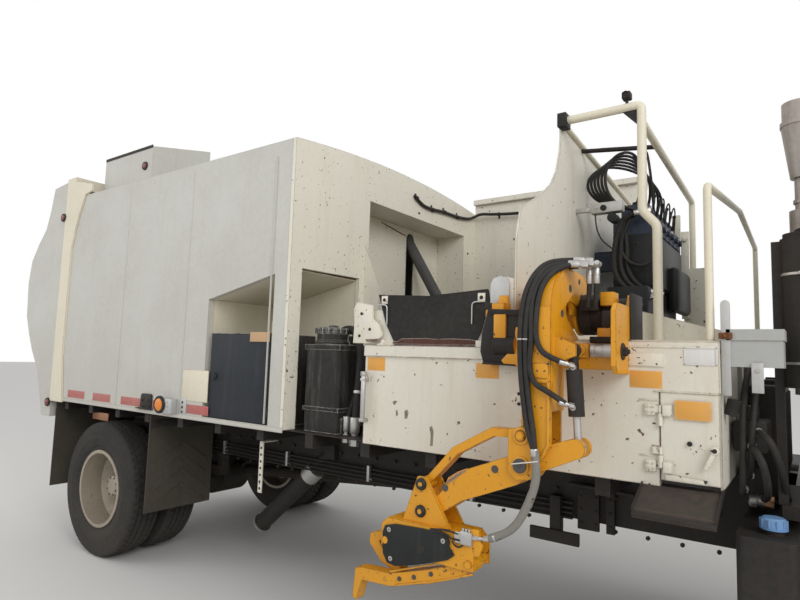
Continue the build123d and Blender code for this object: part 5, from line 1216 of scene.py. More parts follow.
def makeBoom(settings):
    side, face = settings["side"], settings["face"]
    bm = bmesh.new()
    addPlate(bm, "x", side, 0.009, settings["hook"], 0.0018)
    addPlate(bm, "y", face, 0.008, [(1.226, 1.56), (1.238, 1.548), (1.33, 1.548), (1.3425, 1.56),
        (1.3425, 1.85), (1.226, 1.85)])
    addPlate(bm, "y", face, 0.008, [(1.226, 1.374), (1.236, 1.376), (1.236, 1.552), (1.226, 1.556)], 0.0015)
    addPlate(bm, "y", face, 0.008, [(1.3425, 1.556), (1.33, 1.552), (1.33, 1.313), (1.29, 1.24),
        (1.301, 1.234), (1.3425, 1.309)], 0.0015)
    addPlate(bm, "y", face - 0.004, 0.006, [(1.262, 1.57), (1.334, 1.566), (1.338, 1.574), (1.338, 1.618),
        (1.33, 1.627), (1.262, 1.624)])
    for x, z in (settings["linkPin"], settings["elbow"]):
        addTurned(bm, (x, face + 0.008, z), (0, -1, 0), [(0.036, 0.0), (0.036, 0.006), (0.033, 0.008),
            (0.0225, 0.008), (0.0225, 0.0)], 36)
    x, z = settings["linkPin"]
    addTurned(bm, (x, -1.4965, z), (0, -1, 0), [(0.0, 0.009), (0.013, 0.009), (0.0155, 0.006), (0.0155, 0.0),
        (0.0, 0.0)])
    makePiece("boomPlates", bm, "armPaint", "boom_body")

    bm = bmesh.new()
    for y, z, radius in settings["holes"]:
        addTurned(bm, (side + 0.0088, y, z), (1, 0, 0), [(0.0, 0.0004), (radius - 0.002, 0.0004),
            (radius, 0.0012), (radius + 0.0012, 0.0)])
    for x in (1.292, 1.322):
        addRod(bm, (x, face - 0.0035, 1.596), (x, face - 0.0046, 1.596), 0.0042, 14)
    x, z = settings["elbow"]
    addTurned(bm, (x, -1.496, z), (0, -1, 0), [(0.0, 0.0045), (0.009, 0.0045), (0.011, 0.0075),
        (0.025, 0.0075), (0.0285, 0.004), (0.0285, 0.0)], 36)
    makePiece("boomHoles", bm, "cylinderGrey", "boom_body")

    # rotating collar on the hub, with the bracket on the crook's top and its cap screws
    y, z = carrierSettings["hub"]
    radius = carrierSettings["hubRadius"]
    bm = bmesh.new()
    addTurned(bm, (1.35, y, z), (1, 0, 0), [(radius - 0.003, 0.0), (radius + 0.024, 0.0),
        (radius + 0.028, 0.004), (radius + 0.028, 0.05), (radius + 0.018, 0.054), (radius + 0.018, 0.096),
        (radius - 0.003, 0.098)], 48)
    for n in range(8):
        angle = math.radians(22.5 + 45.0 * n)
        spot = (1.349, y + (radius + 0.015) * math.cos(angle), z + (radius + 0.015) * math.sin(angle))
        addBolt(bm, spot, 0.007, (1, 0, 0))
    addBlock(bm, (1.372, -1.236, 1.852), (1.447, -1.166, 1.9), 0.004)
    addPlate(bm, "y", -1.305, 0.005, [(1.297, 2.026), (1.309, 2.058), (1.366, 2.054), (1.372, 2.02)], 0.001)
    addPlate(bm, "z", 2.03, 0.005, [(1.3, -1.3), (1.372, -1.3), (1.372, -1.24), (1.3, -1.24)], 0.001)
    makePiece("hubCollar", bm, "frameBlack", "boom_body")


makeBoom(boomSettings)


# hoses over the crook: two long ones to the gripper, two to the cylinder's ports
hoseSettings = {
    "outer": 0.0115,
    "thin": 0.0112,
    "sleeve": 0.0165,
    "sleeveUpper": [(1.288, 1.29), (1.292, 1.25), (1.297, 1.198), (1.284, 1.134), (1.262, 1.082)],
    "sleeveLower": [(1.262, 1.082), (1.236, 1.026), (1.194, 0.972), (1.14, 0.94), (1.104, 0.924)],
    "crimps": [(1.408, -1.318, 2.053), (1.412, -1.32, 2.04), (1.398, -1.352, 2.03), (1.392, -1.336, 2.038)],
    "hubPorts": (1.429, 1.459),
    "portY": -1.28,
    "longTop": [(1.4, -1.318, 2.042), (1.338, -1.345, 2.044), (1.285, -1.395, 2.025), (1.262, -1.452, 1.975),
        (1.247, -1.493, 1.9), (1.238, -1.5035, 1.81), (1.233, -1.5035, 1.716), (1.238, -1.5035, 1.577),
        (1.256, -1.5035, 1.44), (1.272, -1.504, 1.35)],
    "portA": [(1.388, -1.345, 2.036), (1.345, -1.395, 2.018), (1.31, -1.45, 1.968), (1.298, -1.494, 1.9),
        (1.29, -1.504, 1.81), (1.288, -1.504, 1.725), (1.31, -1.505, 1.672), (1.352, -1.503, 1.648),
        (1.398, -1.48, 1.628)],
    "portB": [(1.38, -1.32, 2.046), (1.322, -1.38, 2.026), (1.288, -1.44, 1.978), (1.272, -1.49, 1.905),
        (1.268, -1.504, 1.81), (1.272, -1.504, 1.708), (1.262, -1.505, 1.629), (1.276, -1.505, 1.548),
        (1.34, -1.503, 1.518), (1.4, -1.48, 1.476)],
}


def makeArmHoses(settings):
    top, outer, thin = settings["longTop"], settings["outer"], settings["thin"]
    longOnes = []
    for shift in (-outer, outer):
        route = []
        for x, y, z in top:
            lift = 0.012 if shift < 0 and z > 2.0 else 0.0
            route.append((x + shift * (1.0 if z < 2.0 else 0.6), y, z + lift))
        longOnes.append((outer, route + [(1.288, -1.504, 1.282)]))
    makeHose("longHoses", longOnes, body="boom_body")
    makeBentHose("portHoseA", thin, settings["portA"])
    makeBentHose("portHoseB", thin, settings["portB"])

    # sleeve from the elbow to the gripper, in two lengths that meet under the band
    upper = [(x, -1.503, z) for x, z in settings["sleeveUpper"]]
    lower = [(x, -1.503, z) for x, z in settings["sleeveLower"]]
    sleeve = settings["sleeve"]
    makeBentHose("sleeveUpper", sleeve, upper, look="sleeveGrey")
    makeBentHose("sleeveLower", sleeve, lower, look="sleeveGrey")
    bm = bmesh.new()
    addRod(bm, (1.2585, -1.5025, 1.074), (1.2655, -1.5025, 1.09), sleeve + 0.0006, 24, 0.002)
    makePiece("sleeveBand", bm, "sleeveGrey", "forearm_body")

    # crimped ends, elbows and clamps
    bm = bmesh.new()
    ports, portY = settings["hubPorts"], settings["portY"]
    for spot in settings["crimps"]:
        addFitting(bm, spot, (1.0, 0.22, -0.1), 0.0105, 0.062)
    addRod(bm, (1.47, -1.318, 2.04), (1.47, portY, 2.038), 0.011, 16, 0.002)
    # per ring of a port: its top, bottom, radius, sides and softened edge
    for x in ports:
        for high, low, radius, sides, soften in ((2.037, 2.02, 0.0095, 6, 0.001),
                (2.022, 1.958, 0.0128, 20, 0.002), (2.002, 1.994, 0.014, 20, 0.001)):
            addRod(bm, (x, portY, high), (x, portY, low), radius, sides, soften)
    addRod(bm, (1.422, portY, 2.037), (1.474, portY, 2.037), 0.0105, 16, 0.002)
    addRod(bm, (1.286, -1.5035, 1.296), (1.289, -1.5032, 1.268), sleeve, 24, 0.002)
    for x in (1.2215, 1.2445):
        addRod(bm, (x, -1.5035, 1.716), (x, -1.5035, 1.722), outer + 0.0012, 20)
    makePiece("boomFittings", bm, "bareSteel", "boom_body")
    drops = [(0.0105, [(x, portY, 1.96), (x, -1.282, 1.922), (x - 0.012, -1.262, 1.866)]) for x in ports]
    makeHose("hubHoses", drops, body="boom_body")
    bm = bmesh.new()
    addBlock(bm, (1.198, -1.5195, 1.2265), (1.312, -1.518, 1.231), 0.0005,
        Matrix.Translation((1.255, 0, 1.229)) @ Matrix.Rotation(math.radians(-12.0), 4, "Y")
        @ Matrix.Translation((-1.255, 0, -1.217)))
    makePiece("cableTie", bm, "cabPaint", "boom_body")

    # ports on the cylinder, each with its hose's crimped end
    bm = bmesh.new()
    for z, out in ((1.618, -0.24), (1.464, -0.2)):
        addFitting(bm, (1.398, -1.48, z + 0.01), (0.75, 0.42, out), 0.009, 0.046)
        addRod(bm, (1.42, -1.455, z - 0.004), (1.42, -1.44, z - 0.006), 0.0125, 6, 0.002)
    makePiece("cylinderPorts", bm, "bareSteel", "barrel_body")


makeArmHoses(hoseSettings)


# forearm and gripper: bores, scraped edge, black cover with washers, manifold, end block and cables
gripperSettings = {
    "forearmFace": -1.468,
    "bores": [(1.103, 1.189), (0.869, 1.08)],
    "scrape": [(0.866, 1.087), (0.884, 1.125), (0.93, 1.156), (0.98, 1.178), (0.972, 1.163), (0.938, 1.137),
        (0.92, 1.121), (0.914, 1.093), (0.902, 1.113), (0.888, 1.095)],
    "cover": [(0.587, 0.881), (0.642, 0.896), (0.786, 0.904), (0.868, 0.904), (0.911, 0.895), (0.922, 0.876),
        (0.921, 0.854), (0.946, 0.826), (0.913, 0.8), (0.763, 0.747), (0.649, 0.717), (0.603, 0.722),
        (0.578, 0.76), (0.574, 0.85)],
    "coverFace": -1.5125,
    "washers": [(0.61, 0.866), (0.891, 0.873), (0.622, 0.744)],
    "slot": (0.781, 0.818),
    "endBlock": [(0.925, 0.872), (0.977, 0.939), (1.053, 0.948), (1.06, 0.905), (1.074, 0.89),
        (1.056, 0.842), (0.96, 0.826), (0.928, 0.838)],
    "cables": [
        (0.0042, [(0.976, -1.513, 0.912), (0.94, -1.515, 0.92), (0.895, -1.5155, 0.921),
            (0.85, -1.515, 0.914), (0.826, -1.51, 0.908)]),
        (0.0042, [(0.976, -1.513, 0.894), (0.935, -1.5155, 0.888), (0.915, -1.5155, 0.904),
            (0.87, -1.515, 0.908), (0.822, -1.51, 0.902)]),
        (0.0036, [(0.99, -1.513, 0.882), (0.975, -1.5155, 0.862), (0.945, -1.5155, 0.868),
            (0.935, -1.514, 0.884)]),
    ],
}


def makeGripper(settings):
    face = settings["forearmFace"]
    bm = bmesh.new()
    for x, z in settings["bores"]:
        addTurned(bm, (x, face - 0.0002, z), (0, -1, 0), [(0.0, 0.0004), (0.0115, 0.0004), (0.0125, 0.0022),
            (0.015, 0.0024), (0.0158, 0.0)])
    makePiece("forearmBores", bm, "cylinderGrey", "forearm_body")
    bm = bmesh.new()
    addPlate(bm, "y", face - 0.0008, 0.0012, settings["scrape"], 0.0003)
    makePiece("forearmScrape", bm, "scrapedSteel", "forearm_body")

    bm = bmesh.new()
    cover = settings["coverFace"]
    addPlate(bm, "y", cover, 0.0065, settings["cover"], 0.0012)
    for x, z in ((0.7586, 1.0817), (0.7586, 0.9667)):
        addTurned(bm, (x, -1.484, z), (0, -1, 0), [(0.0, 0.012), (0.01, 0.012), (0.012, 0.015),
            (0.019, 0.015), (0.0245, 0.011), (0.0265, 0.006), (0.0265, 0.0)], 32)
    makePiece("gripperCover", bm, "coverBlack", "gripper_body")
    bm = bmesh.new()
    for x, z in settings["washers"]:
        addTurned(bm, (x, cover, z), (0, -1, 0), [(0.0035, 0.0), (0.0105, 0.0), (0.0105, 0.0016),
            (0.0035, 0.0022)], 24)
    addBlock(bm, (0.974, -1.519, 0.878), (1.028, -1.503, 0.932), 0.004)
    addBlock(bm, (0.946, -1.5175, 0.896), (0.976, -1.505, 0.918), 0.003)
    for n in range(3):
        x = 0.986 + 0.014 * n
        z = 0.884 + 0.018 * n
        addRod(bm, (x, -1.512, 0.93), (x, -1.512, 0.944), 0.0055, 6, 0.001)
        addRod(bm, (0.95, -1.511, z), (0.974, -1.511, z), 0.0048, 12)
    addRod(bm, (1.026, -1.5085, 0.912), (1.052, -1.507, 0.914), 0.01, 6, 0.001)
    addRod(bm, (1.05, -1.507, 0.914), (1.078, -1.505, 0.917), 0.007, 16)
    addRod(bm, (1.076, -1.505, 0.917), (1.1, -1.5035, 0.922), 0.012, 6, 0.001)
    addTurned(bm, (1.126, -1.503, 0.9325), (1.0, 0.0, 0.42), [(0.0168, -0.005), (0.0168, 0.005),
        (0.015, 0.005), (0.015, -0.005)], 32)
    makePiece("gripperManifold", bm, "bareSteel", "gripper_body")
    bm = bmesh.new()
    x, z = settings["slot"]
    addTurned(bm, (x, cover, z), (0, -1, 0), [(0.0, 0.0004), (0.013, 0.0004), (0.0145, 0.0016),
        (0.016, 0.0)])
    makePiece("coverHole", bm, "hoseBlack", "gripper_body")
    bm = bmesh.new()
    addPlate(bm, "y", -1.5048, 0.01, settings["endBlock"])
    makePiece("gripperEndBlock", bm, "armPaint", "gripper_body")
    makeHose("gripperCables", settings["cables"], body="gripper_body")


makeGripper(gripperSettings)


# front jaw: folded rims along both edges and bolts through the blade
jawSettings = {
    "face": -1.492,
    "top": [(0.605, 0.683), (0.913, 0.795), (1.021, 0.81), (1.021, 0.802), (0.915, 0.787), (0.607, 0.675)],
    "bottom": [(0.643, 0.626), (0.873, 0.7), (1.027, 0.762), (1.025, 0.77), (0.871, 0.708), (0.641, 0.634)],
    "bolts": [(0.66, 0.661), (0.737, 0.686), (0.823, 0.719)],
}


def makeJaw(settings):
    bm = bmesh.new()
    for key in ("top", "bottom"):
        addPlate(bm, "y", settings["face"] - 0.005, 0.006, settings[key], 0.0012)
    makePiece("jawRims", bm, "armPaint", "jaw_front_body")
    bm = bmesh.new()
    for x, z in settings["bolts"]:
        addBolt(bm, (x, settings["face"], z), 0.01)
    makePiece("jawBolts", bm, "cylinderGrey", "jaw_front_body")


makeJaw(jawSettings)
print("arm done")


# guard loops over the deck and the hoop at its front edge: slim tubes with rounded corners
guardX = frontWall + 0.433
guardY = -0.657
hoopX = deckFront - 0.035
footZ = deckZ + 0.008
deckSettings = {
    "near": (0.0225, [(frontWall + 0.01, guardY, 2.954), (guardX, guardY, 2.954), (guardX, guardY, 2.4),
        (frontWall + 0.501, guardY, 2.32), (frontWall + 0.501, guardY, footZ)]),
    "far": (0.02, [(guardX, guardY, 2.866), (guardX, 0.8, 2.79), (guardX, 0.8, footZ)]),
    "hoop": (0.0155, [(hoopX, -1.16, footZ), (hoopX, -1.16, 2.345), (hoopX, 0.07, 2.515),
        (hoopX, 1.07, 2.475), (hoopX, 1.07, footZ)]),
    "corner": 0.055,
}


# more points beside each corner keep the legs of a route straight
def cornered(points, cut):
    route = [points[0]]
    for before, corner, after in zip(points, points[1:], points[2:]):
        beside = []
        for other in (before, after):
            way = Vector(other) - Vector(corner)
            beside.append(tuple(Vector(corner) + way.normalized() * min(cut, way.length * 0.45)))
        route += [beside[0], corner, beside[1]]
    return route + [points[-1]]


def makeGuard(settings):
    routes = []
    for key in ("near", "far", "hoop"):
        radius, points = settings[key]
        routes.append((radius, cornered(points, settings["corner"])))
    tubes = makeHose("guardTubes", routes, "creamPaint")
    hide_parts("deck_rails")
    makeHose("wallRail", [(0.015, [(1.082, -0.64, 2.95), (1.082, 0.1, 2.884), (1.082, 0.86, 2.82)])],
        "creamPaint")
    bm = bmesh.new()
    addBlock(bm, (1.068, -0.7, 2.912), (1.118, -0.618, 2.99), 0.005)
    addPlate(bm, "y", -0.662, 0.008, [(1.4, 2.938), (1.48, 2.938), (1.48, 2.85)], 0.0015)
    addBlock(bm, (1.405, -0.682, 2.996), (1.449, -0.632, 3.036), 0.007)
    addRod(bm, (1.427, guardY, 2.97), (1.427, guardY, 3.0), 0.008, 12)
    addTurned(bm, (1.427, -0.681, 3.016), (0, -1, 0), [(0.0, 0.004), (0.011, 0.004), (0.015, 0.01),
        (0.017, 0.01), (0.018, 0.0), (0.0, 0.0)], 24)
    addRod(bm, (1.072, -0.3, 2.898), (1.5, -0.3, 2.846), 0.013, 16)
    makePiece("guardBrackets", bm, "frameBlack")


makeGuard(deckSettings)


# valve bank: black lower front, side covers, round-cornered box, silver valve, hoses and wires
bankSettings = {
    "face": -0.15,
    "side": 1.445,
    "sections": 6,
    "drops": 5,
    "bolts": [(1.352, 2.334), (1.352, 2.23), (1.238, 2.345), (1.238, 2.15)],
    "valveBlocks": [((1.165, -0.43, 2.474), (1.34, -0.37, 2.534), 0.006),
        ((1.07, -0.412, 2.492), (1.168, -0.392, 2.518), 0.002)],
    "farBlocks": [((1.4, 0.606, 2.5), (1.452, 0.632, 2.662), 0.003),
        ((1.44, 0.69, 1.951), (1.492, 0.7, 2.56), 0.003), ((1.452, 0.7, 1.735), (1.6, 0.716, 2.3), 0.004)],
    "bundle": [(1.37, -0.25, 2.498), (1.309, -0.25, 2.485), (1.268, -0.25, 2.405), (1.248, -0.25, 2.293),
        (1.243, -0.25, 2.2), (1.262, -0.25, 2.124), (1.31, -0.25, 2.062), (1.375, -0.25, 2.018)],
    "inner": [(1.335, -0.23, 2.472), (1.29, -0.235, 2.383), (1.276, -0.235, 2.292), (1.307, -0.23, 2.232),
        (1.351, -0.225, 2.2), (1.402, -0.222, 2.188), (1.438, -0.215, 2.215)],
    "thinWire": [(1.185, -0.4, 2.476), (1.186, -0.4, 2.411), (1.207, -0.398, 2.345), (1.238, -0.39, 2.3),
        (1.283, -0.38, 2.268)],
}


def makeBank(settings):
    face, side = settings["face"], settings["side"]
    bm = bmesh.new()
    addBlock(bm, (1.216, face - 0.012, 2.085), (1.445, face + 0.001, 2.392), 0.004)
    addBlock(bm, (side - 0.001, -0.145, 2.085), (side + 0.012, 0.6, 2.38), 0.004)
    addBlock(bm, (side + 0.002, 0.18, 1.96), (side + 0.07, 0.6, 2.24), 0.03)
    addBlock(bm, (1.215, -0.3, 1.735), (1.44, 0.5, 2.07), 0.012)
    for n in range(settings["sections"]):
        y = -0.06 + 0.12 * n
        addRod(bm, (1.33, y, 2.575), (1.33, y, 2.606), 0.026, 20, 0.004)
        addRod(bm, (1.402, y + 0.03, 2.498), (1.425, y + 0.018, 2.632), 0.0065, 10, 0.001)
        addTurned(bm, (1.426, y + 0.017, 2.638), (0, 0, 1), [(0.0, 0.013), (0.009, 0.009), (0.012, 0.0),
            (0.009, -0.009), (0.0, -0.013)], 14)
    addRod(bm, (1.287, -0.442, 2.44), (1.287, -0.372, 2.44), 0.027, 20, 0.004)
    addRod(bm, (1.239, -0.442, 2.5), (1.239, -0.372, 2.5), 0.017, 16, 0.003)
    for x, z in settings["bolts"]:
        addBolt(bm, (x, face - 0.012, z), 0.009)
    makePiece("bankCovers", bm, "coverBlack")

    bm = bmesh.new()
    for n in range(settings["sections"]):
        y = -0.142 + 0.122 * n
        addBlock(bm, (1.218, y, 2.398), (side + 0.01, y + 0.112, 2.488), 0.01)
        addRod(bm, (side + 0.008, y + 0.056, 2.444), (side + 0.03, y + 0.056, 2.444), 0.02, 6, 0.002)
    makePiece("bankSections", bm, "deckBlue")

    bm = bmesh.new()
    addBlocks(bm, settings["valveBlocks"])
    for k in range(3):
        addFitting(bm, (1.388 + 0.03 * k, -0.245 + 0.02 * k, 2.012 + 0.012 * k), (0.92, 0.25, -0.32), 0.015,
            0.07)
        addFitting(bm, (1.384 + 0.012 * k, -0.245 + 0.022 * k, 2.498 + 0.01 * k), (0.9, 0.4, 0.1), 0.013,
            0.06)
        addRod(bm, (1.3 + 0.044 * k, -0.3, 1.96), (1.3 + 0.044 * k, -0.34, 1.96), 0.018, 6, 0.002)
    for y in (0.235, 0.48):
        addRod(bm, (side + 0.012, y, 2.462), (side + 0.03, y, 2.462), 0.01, 6, 0.001)
    addBolt(bm, (1.2, -0.43, 2.505), 0.008)
    makePiece("bankFittings", bm, "bareSteel")

    bm = bmesh.new()
    addBlocks(bm, settings["farBlocks"])
    addRod(bm, (1.466, 0.692, 2.505), (1.466, 0.668, 2.505), 0.017, 20, 0.004)
    makePiece("farPlates", bm, "facePaint")


def makeBankHoses(settings):
    thick = []
    for k in range(3):
        route = []
        for x, y, z in settings["bundle"]:
            route.append((x + 0.031 * k * (1.0 if z < 2.4 else 0.4), y + 0.02 * k, z + 0.008 * k))
        thick.append((0.015, route))
    makeHose("bankBundle", thick)
    loops = []
    for n in range(settings["sections"]):
        y = -0.06 + 0.12 * n
        lean = -0.24 - 0.105 * n
        wide = 0.026 * n
        loops.append((0.0085, [(1.33, y, 2.6), (1.36, y, 2.69), (1.372, y + lean * 0.25, 2.8),
            (1.345 - wide * 0.6, y + lean * 0.5, 2.88), (1.272 - wide, y + lean * 0.75, 2.872),
            (1.216 - wide, y + lean * 0.92, 2.79), (1.206 - wide, y + lean, 2.69),
            (1.238 - wide * 0.7, y + lean, 2.59), (1.305, -0.31 + 0.012 * n, 2.53), (1.372, -0.245, 2.512)]))
    loops.append((0.007, [(1.455, -0.2, 2.512), (1.468, -0.3, 2.62), (1.462, -0.33, 2.74),
        (1.44, -0.31, 2.852), (1.33, -0.3, 2.874), (1.18, -0.3, 2.892)]))
    loops.append((0.0105, settings["inner"]))
    makeHose("bankLoops", loops)
    wires = [(0.004, settings["thinWire"])]
    for n in range(3):
        y = 0.03 + 0.17 * n
        wires.append((0.0045, [(1.42, y, 2.5), (1.436, y + 0.01, 2.6), (1.446, y + 0.07, 2.665 + 0.012 * n),
            (1.44, y + 0.15, 2.64), (1.42, y + 0.185, 2.5)]))
    makeHose("bankWires", wires)
    drops = []
    for n in range(settings["drops"]):
        x = 1.3 + 0.028 * n
        drops.append((0.0125, [(x, -0.338, 1.96), (x + 0.01, -0.42, 1.95), (x + 0.02, -0.47, 1.89),
            (x + 0.03, -0.48, 1.8), (x + 0.06, -0.47, 1.738)]))
    makeHose("bankDrops", drops)


makeBank(bankSettings)
makeBankHoses(bankSettings)


# between the deck and the cab: flat post with its clamp, box bracket, tube end, hydraulics, canister and cap
gapSettings = {
    "post": [(1.893, 1.527), (1.925, 1.527), (1.925, 1.872), (1.921, 1.881), (1.909, 1.887), (1.897, 1.881),
        (1.893, 1.872)],
    "canister": (2.149, -0.9, 0.072),
    "valveBlocks": [((1.9, -0.96, 1.3), (2.02, -0.7, 1.42), 0.01),
        ((1.905, -0.8, 1.12), (2.0, -0.64, 1.22), 0.008)],
    "tank": ((1.925, -0.6, 1.06), (2.045, 0.52, 1.56), 0.022),
    "tankRibs": 8,
    "cap": (2.035, -1.03, 1.046),
    "capRibs": 10,
    "hoses": [
        (0.012, [(1.925, -0.83, 1.13), (1.925, -0.93, 1.13), (1.935, -0.99, 1.18), (1.94, -1.0, 1.28),
            (1.94, -1.0, 1.48), (1.95, -0.9, 1.6), (1.96, -0.76, 1.66)]),
        (0.012, [(1.947, -0.83, 1.19), (1.947, -0.9, 1.19), (1.958, -0.96, 1.23), (1.968, -1.0, 1.29),
            (1.975, -1.01, 1.42), (1.99, -0.93, 1.6), (1.99, -0.78, 1.68)]),
        (0.014, [(1.969, -0.99, 1.33), (1.985, -1.04, 1.32), (2.01, -1.05, 1.27), (2.02, -1.0, 1.18),
            (2.01, -0.9, 1.12), (1.99, -0.76, 1.09)]),
        (0.014, [(1.991, -0.99, 1.385), (2.02, -1.04, 1.38), (2.05, -1.04, 1.32), (2.07, -0.98, 1.22),
            (2.075, -0.88, 1.13), (2.075, -0.7, 1.085)]),
    ],
}


def makeGap(settings):
    bm = bmesh.new()
    addPlate(bm, "y", -1.185, 0.008, settings["post"], 0.0015)
    addPlate(bm, "y", -1.19, 0.006, [(1.99, 1.542), (2.028, 1.542), (2.028, 1.652), (1.99, 1.652)], 0.001)
    addBlock(bm, (1.99, -1.186, 1.64), (2.028, -1.1, 1.648), 0.001)
    addBolt(bm, (2.009, -1.19, 1.622), 0.008)
    makePiece("flatPost", bm, "galvanised")
    bm = bmesh.new()
    addBlock(bm, (1.886, -1.196, 1.738), (1.932, -1.176, 1.762), 0.003)
    addBolt(bm, (1.909, -1.198, 1.75), 0.01)
    makePiece("rustyClamp", bm, "rustCrust")
    bm = bmesh.new()
    addTurned(bm, (1.91, -1.1, 1.45), (0.25, 0.0, 1.0), [(0.018, 0.0), (0.024, 0.0), (0.024, 0.062),
        (0.018, 0.062)], 24)
    addBlocks(bm, settings["valveBlocks"])
    addRod(bm, (1.96, -0.9, 1.42), (1.96, -0.9, 1.48), 0.03, 20, 0.004)
    x, y, radius = settings["canister"]
    addTurned(bm, (x, y, 2.168), (0, 1, 0), [(0.015, -0.008), (0.026, -0.008), (0.028, 0.0), (0.026, 0.008),
        (0.015, 0.008), (0.013, 0.0)], 24)
    makePiece("gapBlocks", bm, "frameBlack")
    bm = bmesh.new()
    addBlock(bm, *settings["tank"])
    for n in range(settings["tankRibs"]):
        y = -0.54 + 0.13 * n
        addBlock(bm, (2.04, y, 1.11), (2.056, y + 0.03, 1.51), 0.004)
    for y in (-0.5, 0.3):
        addRod(bm, (1.985, y, 1.55), (1.985, y, 1.582), 0.045, 28, 0.005)
    makePiece("oilTank", bm, "frameBlack")
    x, y, radius = settings["canister"]
    bm = bmesh.new()
    for z in (1.655, 2.005):
        addTurned(bm, (x, y, z), (0, 0, 1), [(radius, -0.005), (radius + 0.002, -0.005),
            (radius + 0.002, 0.005), (radius, 0.005)], 40)
        addBlock(bm, (x - 0.01, y - radius - 0.014, z - 0.006), (x + 0.01, y - radius + 0.002, z + 0.006),
            0.001)
    for n, z in enumerate((1.13, 1.19, 1.33, 1.385)):
        addFitting(bm, (1.925 + 0.022 * n, -0.962 if z > 1.3 else -0.802, z), (0, -1, 0), 0.012)
    addTurned(bm, (1.93, -0.7, 1.071), (1, 0, 0), [(0.0, 0.0), (0.024, 0.0), (0.03, 0.006), (0.03, 0.03),
        (0.025, 0.034), (0.025, 0.06), (0.0, 0.06)])
    makePiece("gapFittings", bm, "bareSteel")
    bm = bmesh.new()
    addRod(bm, (1.988, -0.7, 1.07), (2.022, -0.7, 1.067), 0.026, 6, 0.003)
    makePiece("copperNut", bm, "copper")
    bm = bmesh.new()
    x, y, z = settings["cap"]
    addTurned(bm, (x, y, z), (0, 0, 1), [(0.0, 0.034), (0.034, 0.034), (0.041, 0.028),
        (0.043, 0.0), (0.047, 0.0), (0.047, -0.008), (0.0, -0.008)], 32)
    for n in range(settings["capRibs"]):
        angle = math.tau * n / settings["capRibs"]
        spot = (x + 0.042 * math.cos(angle), y + 0.042 * math.sin(angle))
        addRod(bm, (*spot, z), (*spot, z + 0.028), 0.0045, 8)
    makePiece("tankCap", bm, "capBlue")
    makeHose("gapHoses", settings["hoses"])


makeGap(gapSettings)
print("deck done")


# under the body: bolt rows on the frame, posts and brackets, pipes along the rail with their clips
underSettings = {
    "rail": -0.44,
    "boltRows": (0.755, 0.93),
    "boltSpan": (-3.18, 2.3, 0.16),
    "posts": [(1.104, 1.219), (1.256, 1.3)],
    "clips": (-2.7, -1.9, -1.15, -0.35, 0.45),
    "hangers": (-2.85, -2.12),
    "pipes": 4,
}


def makeUnder(settings):
    rail = settings["rail"]
    bm = bmesh.new()
    first, last, step = settings["boltSpan"]
    count = int((last - first) / step)
    for n in range(count):
        x = first + step * n
        for z in settings["boltRows"]:
            addRod(bm, (x, rail + 0.004, z), (x, rail - 0.012, z), 0.011, 6, 0.001)
    makePiece("frameBolts", bm, "axleIron")

    bm = bmesh.new()
    for low, high in settings["posts"]:
        addBlock(bm, (low, rail - 0.022, 0.74), (high, rail - 0.002, 0.959), 0.003)
        for z in (0.775, 0.845, 0.912):
            for x in (low + 0.018, high - 0.018):
                addBolt(bm, (x, rail - 0.022, z), 0.009)
    addBlock(bm, (0.851, rail - 0.072, 0.656), (1.128, rail - 0.052, 0.721), 0.003)
    addBlock(bm, (0.96, rail - 0.056, 0.66), (1.02, rail - 0.002, 0.9), 0.003)
    for x in settings["hangers"]:
        addBlock(bm, (x - 0.06, rail - 0.06, 0.7), (x + 0.06, rail - 0.002, 0.94), 0.01)
    makePiece("underPosts", bm, "frameBlack")

    bm = bmesh.new()
    addBlock(bm, (-2.996, -1.03, 1.01), (-2.734, -0.985, 1.016), 0.001)
    addBlock(bm, (-2.996, -1.036, 1.01), (-2.734, -1.028, 1.074))
    makePiece("goldBracket", bm, "copper")

    pipes = []
    for n in range(settings["pipes"]):
        z = 0.868 - 0.026 * n
        y = rail - 0.018 - 0.004 * n
        pipes.append((0.0075, [(-3.0, y, z), (-1.6, y, z), (-1.5, y, z - 0.01), (0.4, y, z - 0.01),
            (0.7, y, z), (1.08, y, z)]))
    pipes.append((0.012, [(1.065, -0.47, 0.973), (1.24, -0.472, 0.968), (1.404, -0.47, 0.962)]))
    for side in (-1, 1):
        pipes.append((0.009, [(-2.18, side * 0.47, 0.86), (-2.24, side * 0.52, 0.83),
            (-2.33, side * 0.56, 0.74), (-2.4, side * 0.56, 0.66), (-2.44, side * 0.54, 0.6)]))
    makeHose("frameLines", pipes)
    bm = bmesh.new()
    for x in settings["clips"]:
        addBlock(bm, (x, rail - 0.04, 0.776), (x + 0.022, rail - 0.002, 0.884))
    makePiece("lineClips", bm, "bareSteel")


# big cylinder that hangs under the body, its rings, and the drilled pale bar before it
pipeSettings = {
    "top": (-0.716, -0.4, 0.936),
    "end": (-1.46, -0.4, 0.277),
    "radius": 0.072,
    "bar": [(-0.735, 0.748), (-0.7, 0.748), (-0.7, 1.06), (-0.735, 1.06)],
    "holes": 7,
}


